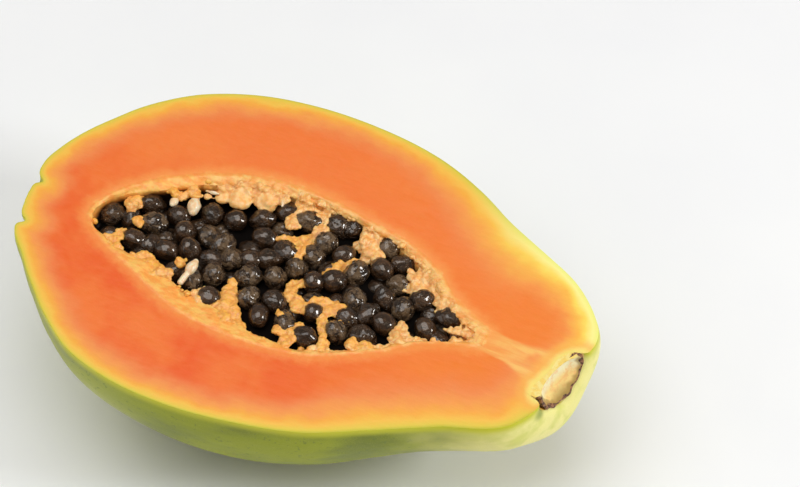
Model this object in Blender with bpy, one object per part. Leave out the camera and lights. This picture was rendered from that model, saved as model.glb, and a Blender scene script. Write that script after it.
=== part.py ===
"""Half of a ripe papaya, cut lengthwise, lying on its back with its seeds in the open cavity.

Blender 4.5, metres, +Z up. +X runs from the blossom end to the stalk end, +Y to the fuller side of
the fruit, and the cut face is level and faces up. The origin is the middle of the small flat spot
on which the fruit rests, under its centre of mass.

The tables below are written in millimetres. In them x is measured from the blossom tip along the
fruit, y across it from the line between blossom tip and stalk, and z from the cut face.
"""

import math
from typing import NamedTuple

import bmesh
import bpy
import numpy as np
from mathutils import Matrix, Vector, noise

MM = 0.001

# Where the fruit rests, and how high its cut face is above that
REST_X = 72.8
REST_Y = 5.2
CUT_HEIGHT = 54.0

# Between two separate pieces
GAP = 0.35


class Station(NamedTuple):
    """One cross-section: its two rims on the cut face, and its depth below the cut face."""

    x: float
    far: float
    near: float
    deep: float


# The whole outside, from the blossom knob over its groove and shoulder to the stalk scar
FRUIT = (
    Station(-0.5, 0.9, -2.0, 1.4),
    Station(0.4, 4.3, -6.4, 5.2),
    Station(1.9, 5.4, -7.8, 6.5),
    Station(0.2, 7.4, -9.4, 8.4),
    Station(0.2, 11.8, -11.8, 11.8),
    Station(2.4, 17.4, -15.0, 14.0),
    Station(4.7, 22.2, -17.3, 16.6),
    Station(7.3, 27.0, -20.1, 19.6),
    Station(12.0, 34.0, -25.0, 25.4),
    Station(20.0, 42.2, -33.4, 34.4),
    Station(31.0, 49.5, -41.4, 44.2),
    Station(45.0, 54.5, -45.5, 50.4),
    Station(62.0, 56.8, -46.6, 54.4),
    Station(78.0, 56.4, -45.0, 54.4),
    Station(95.0, 53.5, -41.2, 48.6),
    Station(110.0, 47.4, -34.3, 41.0),
    Station(122.0, 40.0, -28.6, 34.8),
    Station(130.0, 34.6, -25.8, 32.0),
    Station(137.0, 29.6, -24.2, 28.6),
    Station(142.5, 24.4, -22.8, 25.8),
    Station(146.2, 20.6, -21.2, 23.4),
    Station(148.9, 17.6, -18.8, 20.6),
    Station(150.6, 14.6, -15.4, 17.4),
    Station(151.3, 11.6, -12.0, 13.6),
    Station(150.6, 8.9, -8.9, 8.9),
    Station(150.0, 1.0, -1.0, 1.0),
)
# Both ends are askew: their sections turn by this much x for each y, and under the stalk also for each z
BLOSSOM_LEAN, BLOSSOM_LEAN_FROM = -0.085, 12.0
STALK_LEAN, STALK_TUCK = 0.30, -0.15
STALK_LEAN_FROM, STALK_LEAN_TO = 118.0, 148.0
# Five soft ribs, strongest at the two ends
RIB_COUNT = 5
RIB_MIDDLE, RIB_ENDS = 0.008, 0.045
RIB_REACH = 34.0
SKIN_STEP, SKIN_AROUND = 8.0, 29

# The seed cavity
CAVITY = (
    Station(17.9, 3.2, 1.0, 1.4),
    Station(19.4, 6.4, -1.8, 5.4),
    Station(23.5, 10.8, -4.0, 9.4),
    Station(31.0, 15.6, -6.2, 13.0),
    Station(40.0, 20.8, -8.2, 16.2),
    Station(50.0, 24.8, -11.8, 19.2),
    Station(60.0, 26.8, -14.4, 20.8),
    Station(70.0, 27.3, -17.2, 21.4),
    Station(80.0, 26.6, -17.9, 21.0),
    Station(90.0, 24.8, -15.4, 19.4),
    Station(98.0, 22.6, -11.2, 17.0),
    Station(105.0, 18.2, -7.4, 14.0),
    Station(111.0, 13.6, -3.4, 10.6),
    Station(116.0, 9.4, -1.8, 7.4),
    Station(121.0, 6.6, 0.6, 4.4),
    Station(125.0, 4.8, 2.8, 1.4),
)
# Its torn lining stands out by up to this much, in lumps of this size, and less where it is narrow
LINING_ROUGH, LINING_GRAIN = 0.9, 5.5
LINING_SHARE = 0.4
CAVITY_STEP, CAVITY_AROUND = 7.0, 30
# The solids that cut it and fill it reach this far above the cut face
ABOVE_CUT = 8.0

# The heap of seeds: its top meets the cut face at the near lip and falls for each mm towards +Y
HEAP_NEAR_Y = -17.0
HEAP_TOP = 0.5
HEAP_FALL_BLOSSOM, HEAP_FALL_STALK = 0.125, 0.045
HEAP_FALL_TURNS = (50.0, 76.0)
# The heap's solid inside lies this far below its top, and this far in from the cavity's wall
HEAP_ENDS = (45.0, 105.0)
HEAP_CORE_BELOW, HEAP_CORE_INSET = 3.9, 1.4
HEAP_CORE_STEP, HEAP_CORE_AROUND = 10.0, 20
# Seeds, and how far the middles of those that show lie below the heap's top at most
SEED_RADII = (3.3, 2.95, 2.85)
SEED_SPACING = 5.9
SEED_COUNT = 128
SEED_LAYER = (2.0, 8.0)
SEED_SPREAD = 8.0
SEED_SHOWN = 5.0
SEED_UNEVEN = (-2.2, 0.7)
SEED_SEGMENTS, SEED_RINGS = 7, 5
# They settle in this many steps: each rises a little, and moves by a share of each overlap
SETTLE_STEPS = 260
SETTLE_RISE, SETTLE_PUSH = 0.12, 0.35
SETTLE_SNUG = 0.85
RANDOM_SEED = 11

# The stalk scar: a half disc with a raised crust at its edge, as (radius, height) from its middle
SCAR_MIDDLE = (150.4, 0.0)
SCAR_PROFILE = (
    (0.0, -3.4),
    (6.8, -3.4),
    (8.3, -1.6),
    (8.6, 0.3),
    (8.1, 0.9),
    (7.3, 0.2),
    (6.2, -0.9),
    (0.0, -1.9),
)
SCAR_RAGGED, SCAR_GRAIN = 0.5, 3.0
SCAR_SEGMENTS = 32
# The recess that holds it is wider by the gap and open above the crust
SCAR_RECESS_R, SCAR_RECESS_TOP = 9.35, 4.0


class Bead(NamedTuple):
    """One point of a pulp strand, and the strand's half width there."""

    x: float
    y: float
    z: float
    r: float


# Torn pulp that grows from the lining and reaches over the seeds, from root to tip
STRANDS = {
    "broad_tongue": (
        Bead(65.0, -26.0, -3.2, 4.5),
        Bead(63.5, -18.0, -2.4, 4.6),
        Bead(61.5, -11.0, -1.8, 3.2),
        Bead(60.0, -4.0, -2.0, 1.4),
    ),
    "near_hook": (
        Bead(81.0, -24.0, -2.5, 3.0),
        Bead(80.4, -15.0, -1.1, 1.6),
        Bead(81.8, -9.5, -1.4, 1.1),
    ),
    "near_bridge": (
        Bead(91.0, -23.0, -2.5, 3.0),
        Bead(90.0, -14.0, -1.2, 1.7),
        Bead(87.2, -8.0, -1.3, 1.5),
        Bead(85.4, -3.4, -1.6, 2.0),
    ),
    "island": (
        Bead(92.5, -4.0, -1.8, 1.4),
        Bead(89.0, -1.4, -1.8, 2.5),
        Bead(84.5, -1.6, -1.8, 2.1),
        Bead(80.0, -4.2, -1.6, 2.3),
        Bead(75.6, -2.4, -1.9, 1.9),
        Bead(75.0, 2.0, -2.3, 1.7),
        Bead(79.5, 4.4, -2.5, 1.3),
        Bead(83.4, 11.0, -3.0, 1.9),
        Bead(85.8, 16.0, -3.4, 1.5),
    ),
    "far_branch": (
        Bead(84.0, 31.0, -2.5, 3.2),
        Bead(79.6, 26.0, -4.0, 2.2),
        Bead(75.4, 21.6, -4.1, 1.8),
        Bead(72.2, 16.0, -3.7, 2.4),
        Bead(68.6, 15.4, -3.5, 1.5),
        Bead(64.6, 14.4, -3.3, 0.9),
    ),
    "far_drop": (
        Bead(72.2, 17.0, -3.9, 1.6),
        Bead(72.7, 12.4, -3.2, 2.4),
        Bead(73.0, 9.4, -2.8, 1.3),
    ),
    "far_patch": (
        Bead(95.0, 29.0, -2.5, 3.6),
        Bead(91.4, 25.0, -3.6, 3.2),
        Bead(89.7, 20.6, -3.9, 2.6),
        Bead(89.0, 17.0, -3.7, 1.4),
    ),
    "far_patch_tip": (
        Bead(90.2, 21.6, -4.0, 2.0),
        Bead(84.6, 20.4, -3.8, 1.3),
    ),
    "right_patch": (
        Bead(114.0, 23.0, -2.5, 3.2),
        Bead(109.4, 19.0, -2.9, 2.6),
        Bead(106.0, 15.6, -3.2, 2.3),
        Bead(102.6, 11.4, -3.0, 1.0),
    ),
    "right_tooth": (
        Bead(119.0, 13.5, -2.5, 2.4),
        Bead(114.6, 11.4, -2.6, 1.7),
        Bead(113.0, 8.6, -2.6, 1.0),
    ),
    "near_right": (
        Bead(110.5, -11.0, -2.5, 3.0),
        Bead(108.0, -3.6, -1.4, 2.4),
        Bead(105.6, 1.0, -1.8, 1.2),
    ),
    "near_nib": (
        Bead(101.5, -16.0, -2.5, 2.8),
        Bead(99.4, -9.6, -1.2, 1.4),
    ),
    "stalk_tongue": (
        Bead(130.0, 5.2, -2.5, 2.0),
        Bead(122.0, 4.4, -1.3, 1.5),
        Bead(117.0, 3.4, -1.6, 0.8),
    ),
    "left_near": (
        Bead(21.0, -8.5, -2.5, 2.6),
        Bead(26.2, -3.2, -1.6, 2.0),
        Bead(26.8, 0.4, -1.9, 1.0),
    ),
    "left_far": (
        Bead(21.5, 15.0, -2.5, 2.6),
        Bead(26.0, 9.6, -3.2, 1.9),
        Bead(30.0, 6.4, -3.2, 1.3),
    ),
    "left_nib": (
        Bead(40.0, -17.0, -2.5, 2.6),
        Bead(39.2, -9.4, -1.3, 1.7),
        Bead(38.6, -6.2, -1.8, 0.9),
    ),
    "unripe_seed_near": (
        Bead(48.0, -20.0, -2.5, 2.4),
        Bead(48.0, -11.4, -1.1, 1.1),
        Bead(47.2, -5.4, -1.4, 1.0),
        Bead(46.9, -2.8, -1.6, 1.6),
        Bead(46.8, -0.6, -2.0, 0.6),
    ),
    "unripe_seed_far": (
        Bead(41.6, 25.0, -3.0, 2.2),
        Bead(41.0, 20.0, -4.2, 1.1),
        Bead(40.8, 16.8, -4.6, 1.9),
        Bead(40.8, 14.2, -4.8, 0.7),
    ),
    "unripe_seed_left": (
        Bead(35.6, 22.5, -3.0, 2.0),
        Bead(35.2, 17.6, -4.2, 0.9),
        Bead(35.0, 15.4, -4.6, 1.5),
        Bead(35.0, 13.6, -4.8, 0.6),
    ),
}
STRAND_STEP, STRAND_SIDES = 3.4, 6
STRAND_FLAT = 0.62
# Rounded nodules of pulp in a row on the fuller side's wall, big and small by turns
NODULE_X = (45.5, 50.5, 56.0, 61.0, 66.5)
NODULE_IN = 1.6
NODULE_Z = -3.6
NODULE_R = (2.6, 3.3)
NODULE_SEGMENTS, NODULE_RINGS = 8, 5


def clear_scene():
    """Removes whatever the file held."""
    for obj in list(bpy.data.objects):
        bpy.data.objects.remove(obj)


def finish(name, colour, roughness):
    """A Principled material of one colour."""
    made = bpy.data.materials.new(name)
    made.use_nodes = True
    shader = made.node_tree.nodes["Principled BSDF"]
    shader.inputs["Base Color"].default_value = (*colour, 1.0)
    shader.inputs["Roughness"].default_value = roughness
    made.diffuse_color = (*colour, 1.0)
    return made


def placed(x, y, z):
    """A point of the tables in the scene, in metres."""
    return Vector(((x - REST_X) * MM, (y - REST_Y) * MM, (CUT_HEIGHT + z) * MM))


def smooth_step(low, high, value):
    """0 before low, 1 after high, and smooth between."""
    share = min(1.0, max(0.0, (value - low) / (high - low)))
    return share * share * (3.0 - 2.0 * share)


def through(rows, longest_step):
    """Rows along the smooth curve through the given ones, at most longest_step apart."""
    points = np.array(rows, float)
    chord = np.linalg.norm(np.diff(points, axis=0), axis=1)
    slope = np.diff(points, axis=0) / chord[:, None]
    tangent = np.concatenate([slope, slope[-1:]])
    for i in range(1, len(slope)):
        tangent[i] = (slope[i] * chord[i - 1] + slope[i - 1] * chord[i]) / (chord[i - 1] + chord[i])
    made = [points[0]]
    for i, length in enumerate(chord):
        steps = max(1, math.ceil(length / longest_step))
        for k in range(1, steps + 1):
            s = k / steps
            made.append(
                (2 * s**3 - 3 * s**2 + 1) * points[i]
                + (s**3 - 2 * s**2 + s) * length * tangent[i]
                + (3 * s**2 - 2 * s**3) * points[i + 1]
                + (s**3 - s**2) * length * tangent[i + 1]
            )
    return np.array(made)


def mesh_object(name, points, faces, materials):
    """An object from points in metres and lists of corners, with its faces pointing out."""
    mesh = bpy.data.meshes.new(name)
    mesh.from_pydata(points, [], faces)
    for material in materials:
        mesh.materials.append(material)
    made = bmesh.new()
    made.from_mesh(mesh)
    bmesh.ops.recalc_face_normals(made, faces=made.faces)
    made.to_mesh(mesh)
    made.free()
    obj = bpy.data.objects.new(name, mesh)
    bpy.context.scene.collection.objects.link(obj)
    return obj


def tube_faces(rings, around, closed):
    """Faces between rings of points laid one after the other, and a cap on each end ring."""
    faces = []
    for i in range(rings - 1):
        for j in range(around if closed else around - 1):
            a, b = i * around + j, i * around + (j + 1) % around
            faces.append((a, b, b + around, a + around))
    faces.append(tuple(range(around)))
    faces.append(tuple(range((rings - 1) * around, rings * around)))
    return faces


def askew(x, y, z):
    """The point (y, z) of the section at x, moved along the fruit as the askew ends need."""
    blossom = 1.0 - smooth_step(0.0, BLOSSOM_LEAN_FROM, x)
    stalk = smooth_step(STALK_LEAN_FROM, STALK_LEAN_TO, x)
    return placed(x + blossom * BLOSSOM_LEAN * y + stalk * (STALK_LEAN * y + STALK_TUCK * z), y, z)


def rib(x, angle):
    """The share by which the five ribs raise the skin, zero on the cut face."""
    from_end = min(x - FRUIT[0].x, FRUIT[-1].x - x)
    height = RIB_ENDS + (RIB_MIDDLE - RIB_ENDS) * smooth_step(0.0, RIB_REACH, from_end)
    return height * math.sin(RIB_COUNT * angle)


def fruit_body(skin, flesh):
    """The half fruit before its cavity is opened: a skin lofted through the stations, and a flat cut face."""
    stations = through(FRUIT, SKIN_STEP)
    points = []
    for x, far, near, deep in stations:
        middle, half = (far + near) / 2, (far - near) / 2
        for j in range(SKIN_AROUND):
            angle = math.pi * j / (SKIN_AROUND - 1)
            swell = 1.0 + rib(x, angle)
            across = half * swell * math.cos(angle)
            down = deep * swell * math.sin(angle)
            points.append(askew(x, middle + across, -down))
    faces = tube_faces(len(stations), SKIN_AROUND, closed=False)
    far_rim = range(0, len(points), SKIN_AROUND)
    near_rim = range(len(points) - 1, 0, -SKIN_AROUND)
    faces.append((*far_rim, *near_rim))
    body = mesh_object("fruit_half", points, faces, (skin, flesh))
    level = CUT_HEIGHT * MM
    for face in body.data.polygons:
        on_cut = all(abs(body.data.vertices[v].co.z - level) < 1e-6 for v in face.vertices)
        face.material_index = 1 if on_cut else 0
    return body


def cut_off(body, point, outward):
    """Cuts away what lies beyond a plane, and closes the body with a flat face there."""
    made = bmesh.new()
    made.from_mesh(body.data)
    everything = made.verts[:] + made.edges[:] + made.faces[:]
    cut = bmesh.ops.bisect_plane(made, geom=everything, plane_co=point, plane_no=outward, clear_outer=True)
    edges = [e for e in cut["geom_cut"] if isinstance(e, bmesh.types.BMEdge)]
    bmesh.ops.contextual_create(made, geom=edges)
    bmesh.ops.recalc_face_normals(made, faces=made.faces)
    made.to_mesh(body.data)
    made.free()


def lining_bump(point):
    """How far the torn lining stands into the cavity at a point of its smooth wall."""
    return LINING_ROUGH * (0.5 + noise.noise(Vector(point) / LINING_GRAIN))


def cavity_solid(name, inset, materials, step=CAVITY_STEP, around=CAVITY_AROUND):
    """The seed cavity as a solid that also reaches above the cut face, drawn in by inset all round."""
    stations = through(CAVITY, step)
    points = []
    for x, far, near, deep in stations:
        middle, half = (far + near) / 2, (far - near) / 2
        for j in range(around):
            angle = 2 * math.pi * j / around
            across, down = math.cos(angle), math.sin(angle)
            bump = min(lining_bump((x, half * across, deep * down)), LINING_SHARE * half)
            depth = (deep - bump) * down if down > 0 else ABOVE_CUT * down
            points.append(placed(x, middle + (half - bump) * across, -depth))
    solid = mesh_object(name, points, tube_faces(len(stations), around, closed=True), materials)
    made = bmesh.new()
    made.from_mesh(solid.data)
    made.normal_update()
    for vert in made.verts:
        vert.co -= vert.normal * inset * MM
    made.to_mesh(solid.data)
    made.free()
    return solid


def strand(name, beads, grow, materials):
    """A flattened, tapering strand through its beads, made thicker by grow."""
    line = through(beads, STRAND_STEP)
    points = []
    for i, (x, y, z, r) in enumerate(line):
        ahead, behind = line[min(i + 1, len(line) - 1)], line[max(i - 1, 0)]
        along = Vector(ahead[:3] - behind[:3]).normalized()
        side = along.cross(Vector((0, 0, 1))).normalized()
        up = side.cross(along)
        for j in range(STRAND_SIDES):
            angle = 2 * math.pi * j / STRAND_SIDES
            wide = (r + grow) * math.cos(angle)
            high = (STRAND_FLAT * r + grow) * math.sin(angle)
            points.append(placed(*(Vector((x, y, z)) + side * wide + up * high)))
    return mesh_object(name, points, tube_faces(len(line), STRAND_SIDES, closed=True), materials)


def ball(name, place, radii, segments, rings, materials):
    """An ellipsoid where the matrix place puts it."""
    made = bmesh.new()
    bmesh.ops.create_uvsphere(made, u_segments=segments, v_segments=rings, radius=MM)
    bmesh.ops.transform(made, matrix=place @ Matrix.Diagonal((*radii, 1.0)), verts=made.verts)
    mesh = bpy.data.meshes.new(name)
    made.to_mesh(mesh)
    made.free()
    for material in materials:
        mesh.materials.append(material)
    obj = bpy.data.objects.new(name, mesh)
    bpy.context.scene.collection.objects.link(obj)
    return obj


def pulp_pieces(grow, materials):
    """Every strand and nodule that grows from the lining, made thicker by grow, as separate solids."""
    pieces = [strand(f"strand_{name}", beads, grow, materials) for name, beads in STRANDS.items()]
    wall = np.array(CAVITY)
    for k, x in enumerate(NODULE_X):
        y = np.interp(x, wall[:, 0], wall[:, 1]) - NODULE_IN
        r = NODULE_R[k % 2] + grow
        place = Matrix.Translation(placed(x, y, NODULE_Z))
        pieces.append(ball(f"nodule_{k + 1}", place, (r, r, r), NODULE_SEGMENTS, NODULE_RINGS, materials))
    return pieces


def boolean(target, operation, others, solver="EXACT"):
    """Joins the others to the target, cuts them from it or keeps what they share, and removes them."""
    group = bpy.data.collections.new("boolean_operands")
    for obj in others:
        bpy.context.scene.collection.objects.unlink(obj)
        group.objects.link(obj)
    bpy.context.scene.collection.children.link(group)
    modifier = target.modifiers.new(operation.title(), "BOOLEAN")
    modifier.operation = operation
    modifier.operand_type = "COLLECTION"
    modifier.collection = group
    modifier.solver = solver
    modifier.material_mode = "TRANSFER"
    bpy.context.view_layer.update()
    graph = bpy.context.evaluated_depsgraph_get()
    result = bpy.data.meshes.new_from_object(target.evaluated_get(graph))
    target.modifiers.remove(modifier)
    target.data = result
    for obj in others:
        bpy.data.objects.remove(obj)
    bpy.data.collections.remove(group)


def keep_largest(body):
    """Drops the crumbs that the cuts left loose."""
    made = bmesh.new()
    made.from_mesh(body.data)
    left = set(made.verts)
    parts = []
    while left:
        part, edge = set(), {left.pop()}
        while edge:
            part |= edge
            edge = {e.other_vert(v) for v in edge for e in v.link_edges} - part
        left -= part
        parts.append(part)
    crumbs = set().union(*sorted(parts, key=len)[:-1])
    bmesh.ops.delete(made, geom=list(crumbs), context="VERTS")
    made.to_mesh(body.data)
    made.free()


def heap_top(x, y):
    """The height of the heap's top over the cut face."""
    share = np.clip((x - HEAP_FALL_TURNS[0]) / (HEAP_FALL_TURNS[1] - HEAP_FALL_TURNS[0]), 0, 1)
    fall = HEAP_FALL_BLOSSOM + (HEAP_FALL_STALK - HEAP_FALL_BLOSSOM) * share
    return HEAP_TOP - fall * (y - HEAP_NEAR_Y)


def settle_seeds():
    """Packs the seeds' middles: they push each other apart inside the cavity, under the heap's top."""
    rng = np.random.default_rng(RANDOM_SEED)
    table = through(CAVITY, 1.0)
    xs, far, near, deep = table[np.argsort(table[:, 0])].T
    width = far - near
    body = SEED_RADII[1]
    first, last = xs[width > 2.2 * body][[0, -1]]
    spots = np.zeros((SEED_COUNT, 3))
    spots[:, 0] = np.interp(rng.random(SEED_COUNT), np.cumsum(width) / np.sum(width), xs)
    spots[:, 1] = np.interp(spots[:, 0], xs, (far + near) / 2)
    spots[:, 1] += rng.uniform(-SEED_SPREAD, SEED_SPREAD, SEED_COUNT)
    spots[:, 2] = heap_top(*spots[:, :2].T) - rng.uniform(*SEED_LAYER, SEED_COUNT)
    lids = rng.uniform(*SEED_UNEVEN, SEED_COUNT)
    for _ in range(SETTLE_STEPS):
        spots[:, 2] += SETTLE_RISE
        gaps = spots[:, None] - spots[None]
        away = np.linalg.norm(gaps, axis=2)
        np.fill_diagonal(away, np.inf)
        short = np.clip(SEED_SPACING - away, 0, None)
        spots += SETTLE_PUSH * (gaps * (short / away)[..., None]).sum(axis=1)
        spots[:, 0] = np.clip(spots[:, 0], first, last)
        middle = np.interp(spots[:, 0], xs, (far + near) / 2)
        room = np.interp(spots[:, 0], xs, width / 2) - SETTLE_SNUG * body
        floor = np.interp(spots[:, 0], xs, deep) - SETTLE_SNUG * body
        out = np.hypot((spots[:, 1] - middle) / room, spots[:, 2] / floor)
        pull = 1 / np.maximum(out, 1.0)
        spots[:, 1] = middle + (spots[:, 1] - middle) * pull
        spots[:, 2] *= pull
        spots[:, 2] = np.minimum(spots[:, 2], heap_top(*spots[:, :2].T) + lids - body)
    turns = rng.uniform(0, 2 * math.pi, (SEED_COUNT, 2))
    return spots, turns


def heap_core(material):
    """The dark inside of the heap, which the seeds stand out of."""
    core = cavity_solid("seeds", HEAP_CORE_INSET, (material,), HEAP_CORE_STEP, HEAP_CORE_AROUND)
    first, last = (placed(x, REST_Y, heap_top(x, REST_Y) - HEAP_CORE_BELOW) for x in HEAP_ENDS)
    across = Vector((0, 1, -(HEAP_FALL_BLOSSOM + HEAP_FALL_STALK) / 2))
    cut_off(core, first, (last - first).cross(across))
    return core


def seed_heap(material):
    """All the black seeds as one body: cut clear of the cavity's wall and of the pulp on them."""
    heap = heap_core(material)
    spots, turns = settle_seeds()
    seeds = []
    for k, (spot, turn) in enumerate(zip(spots, turns)):
        if spot[2] + SEED_SHOWN > heap_top(*spot[:2]):
            turned = Matrix.Rotation(turn[0], 4, "X") @ Matrix.Rotation(turn[1], 4, "Y")
            place = Matrix.Translation(placed(*spot)) @ turned
            seeds.append(ball(f"seed_{k + 1}", place, SEED_RADII, SEED_SEGMENTS, SEED_RINGS, (material,)))
    boolean(heap, "UNION", seeds, "MANIFOLD")
    boolean(heap, "INTERSECT", [cavity_solid("cavity_room", GAP, (material,))], "MANIFOLD")
    boolean(heap, "DIFFERENCE", pulp_pieces(GAP, (material,)), "MANIFOLD")
    keep_largest(heap)


def scar_solid(name, profile, materials):
    """The profile of the stalk scar, turned all the way about the scar's middle."""
    outward = Vector((1, -STALK_LEAN, -STALK_TUCK)).normalized()
    across = Vector((-outward.y, outward.x, 0)).normalized()
    down = across.cross(outward)
    middle = Vector((*SCAR_MIDDLE, 0))
    points = []
    for k in range(SCAR_SEGMENTS):
        angle = 2 * math.pi * k / SCAR_SEGMENTS
        grain = Vector((math.cos(angle), math.sin(angle), 0)) * SCAR_GRAIN
        ragged = 1.0 + SCAR_RAGGED * noise.noise(grain)
        spoke = across * math.cos(angle) + down * math.sin(angle)
        for radius, height in profile:
            raised = height * ragged if height > 0 else height
            points.append(placed(*(middle + spoke * radius + outward * raised)))
    around = len(profile)
    faces = []
    for i in range(SCAR_SEGMENTS):
        for j in range(around - 1):
            a, b = i * around + j, (i + 1) % SCAR_SEGMENTS * around + j
            faces.append((a, a + 1, b + 1, b))
    solid = mesh_object(name, points, faces, materials)
    made = bmesh.new()
    made.from_mesh(solid.data)
    bmesh.ops.remove_doubles(made, verts=made.verts, dist=1e-6)
    bmesh.ops.recalc_face_normals(made, faces=made.faces)
    made.to_mesh(solid.data)
    made.free()
    return solid


def main():
    clear_scene()
    skin = finish("papaya_skin", (0.36, 0.45, 0.07), 0.42)
    flesh = finish("papaya_flesh", (0.86, 0.26, 0.06), 0.38)
    pulp = finish("papaya_pulp", (0.90, 0.50, 0.18), 0.5)
    seed_coat = finish("papaya_seed", (0.022, 0.014, 0.010), 0.25)
    cork = finish("stalk_cork", (0.36, 0.20, 0.09), 0.8)

    fruit = fruit_body(skin, flesh)
    boolean(fruit, "DIFFERENCE", [cavity_solid("cavity", 0.0, (pulp,))])
    boolean(fruit, "UNION", pulp_pieces(0.0, (pulp,)))
    plug = [(r + GAP if r else r, h - GAP) for r, h in SCAR_PROFILE[:3]]
    recess = [*plug, (SCAR_RECESS_R, SCAR_RECESS_TOP), (0.0, SCAR_RECESS_TOP)]
    boolean(fruit, "DIFFERENCE", [scar_solid("scar_recess", recess, (flesh,))])
    cut_off(fruit, Vector((0, 0, 0)), Vector((0, 0, -1)))

    seed_heap(seed_coat)

    scar = scar_solid("stalk_scar", SCAR_PROFILE, (cork,))
    cut_off(scar, placed(*SCAR_MIDDLE, 0), Vector((0, 0, 1)))

    for obj in bpy.context.scene.objects:
        obj.data.shade_smooth()
        obj.data.set_sharp_from_angle(angle=math.radians(40))


if __name__ == "__main__":
    main()
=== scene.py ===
"""Half a ripe papaya with its seeds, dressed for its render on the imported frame.

Lengths in the tables are millimetres: x runs from the blossom tip along the fruit, y across it towards
its fuller side, and z up from the cut face. The function placed turns them into metres of the frame.
"""

import sys

import logging
import math
from collections.abc import Iterator
from dataclasses import dataclass
from enum import Enum
from typing import NamedTuple

import bpy
import numpy as np
from mathutils import Matrix, Quaternion, Vector, noise


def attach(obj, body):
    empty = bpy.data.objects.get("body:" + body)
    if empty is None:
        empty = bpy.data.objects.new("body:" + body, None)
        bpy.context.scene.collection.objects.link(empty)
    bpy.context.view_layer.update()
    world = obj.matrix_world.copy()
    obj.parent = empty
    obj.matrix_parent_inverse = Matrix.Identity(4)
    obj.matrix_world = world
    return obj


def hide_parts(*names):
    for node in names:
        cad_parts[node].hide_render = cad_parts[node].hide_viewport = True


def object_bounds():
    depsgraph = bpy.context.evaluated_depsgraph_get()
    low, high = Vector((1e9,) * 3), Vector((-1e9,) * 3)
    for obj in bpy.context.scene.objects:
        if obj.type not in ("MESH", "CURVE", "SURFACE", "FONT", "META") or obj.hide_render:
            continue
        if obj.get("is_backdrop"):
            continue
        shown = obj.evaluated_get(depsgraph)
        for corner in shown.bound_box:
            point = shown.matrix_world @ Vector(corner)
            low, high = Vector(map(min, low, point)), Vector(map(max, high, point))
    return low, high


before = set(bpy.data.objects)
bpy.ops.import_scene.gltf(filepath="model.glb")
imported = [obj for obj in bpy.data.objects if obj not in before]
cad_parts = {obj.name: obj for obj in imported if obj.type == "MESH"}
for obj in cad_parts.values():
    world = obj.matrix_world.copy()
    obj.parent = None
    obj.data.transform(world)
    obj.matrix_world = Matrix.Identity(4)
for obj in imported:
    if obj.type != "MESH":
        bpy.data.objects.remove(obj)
cad_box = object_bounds()

log = logging.getLogger("papaya")

MM = 0.001
# The blossom tip at the height of the cut face lies here from the frame's origin, in millimetres
TIP = np.array([-72.8, -5.2, 54.0])
# The longest step of the smooth curves through the tables, in millimetres
CURVE_STEP = 0.4
# A distance in millimetres that no mark on the cut face reaches
FAR_AWAY = 50.0
# Faces that meet at more than this angle show an edge
SHARP_FROM = math.radians(50)


class Station(NamedTuple):
    """One cross-section: its two rims on the cut face, and its depth below the cut face."""

    x: float
    far: float
    near: float
    deep: float


class LipSide(NamedTuple):
    """How crumbs lie along one side of the cavity's lip.

    column is the side's column in a section, and outward its direction across the fruit. One in every so
    many spots of the lip may get a crumb, by chance where the lip is whole and more often from torn_from
    on. reach is how far out a crumb may lie, in millimetres.
    """

    column: int
    outward: float
    every: int
    torn_from: float
    chance: float
    reach: float


# The whole outside, from the blossom knob to the stalk end, and then into the recess of the stalk scar
FRUIT = (
    Station(-0.5, 0.9, -2.0, 1.4),
    Station(0.4, 4.3, -6.4, 5.2),
    Station(1.9, 5.4, -7.8, 6.5),
    Station(0.2, 7.4, -9.4, 8.4),
    Station(0.2, 11.8, -11.8, 11.8),
    Station(2.4, 17.4, -15.0, 14.0),
    Station(4.7, 22.2, -17.3, 16.6),
    Station(7.3, 27.0, -20.1, 19.6),
    Station(12.0, 34.0, -25.0, 25.4),
    Station(20.0, 42.2, -33.4, 34.4),
    Station(31.0, 49.5, -41.4, 44.2),
    Station(45.0, 54.5, -45.5, 50.4),
    Station(62.0, 56.8, -46.6, 54.4),
    Station(78.0, 56.4, -45.0, 54.4),
    Station(95.0, 53.5, -41.2, 48.6),
    Station(110.0, 47.4, -34.3, 41.0),
    Station(122.0, 40.0, -28.6, 34.8),
    Station(130.0, 34.6, -25.8, 32.0),
    Station(137.0, 29.6, -24.2, 28.6),
    Station(142.5, 24.4, -22.8, 25.8),
    Station(146.2, 20.6, -21.2, 23.4),
    Station(148.9, 17.6, -18.8, 20.6),
    Station(150.6, 14.6, -15.4, 17.4),
    Station(151.3, 11.6, -12.0, 13.6),
    Station(150.9, 9.6, -9.7, 10.1),
    Station(149.8, 9.0, -9.0, 9.0),
    Station(148.2, 8.6, -8.6, 8.6),
    Station(146.8, 7.2, -7.2, 7.2),
    Station(146.6, 1.0, -1.0, 1.0),
)
# The two ends sit askew: how far each leans along the fruit, and between which x
BLOSSOM_LEAN, BLOSSOM_LEAN_FROM = -0.085, 12.0
STALK_LEAN, STALK_TUCK = 0.30, -0.15
STALK_LEAN_FROM, STALK_LEAN_TO = 118.0, 148.0
# The soft ribs of the skin: how many, how high in the middle and at the ends, and between which x
RIB_COUNT = 5
RIB_MIDDLE, RIB_ENDS = 0.008, 0.045
RIB_REACH = 34.0
RIBS_FROM, RIBS_TO = -0.5, 150.6
# The middle of the stalk scar
SCAR_MIDDLE = (150.4, 0.0, 0.0)

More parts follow.
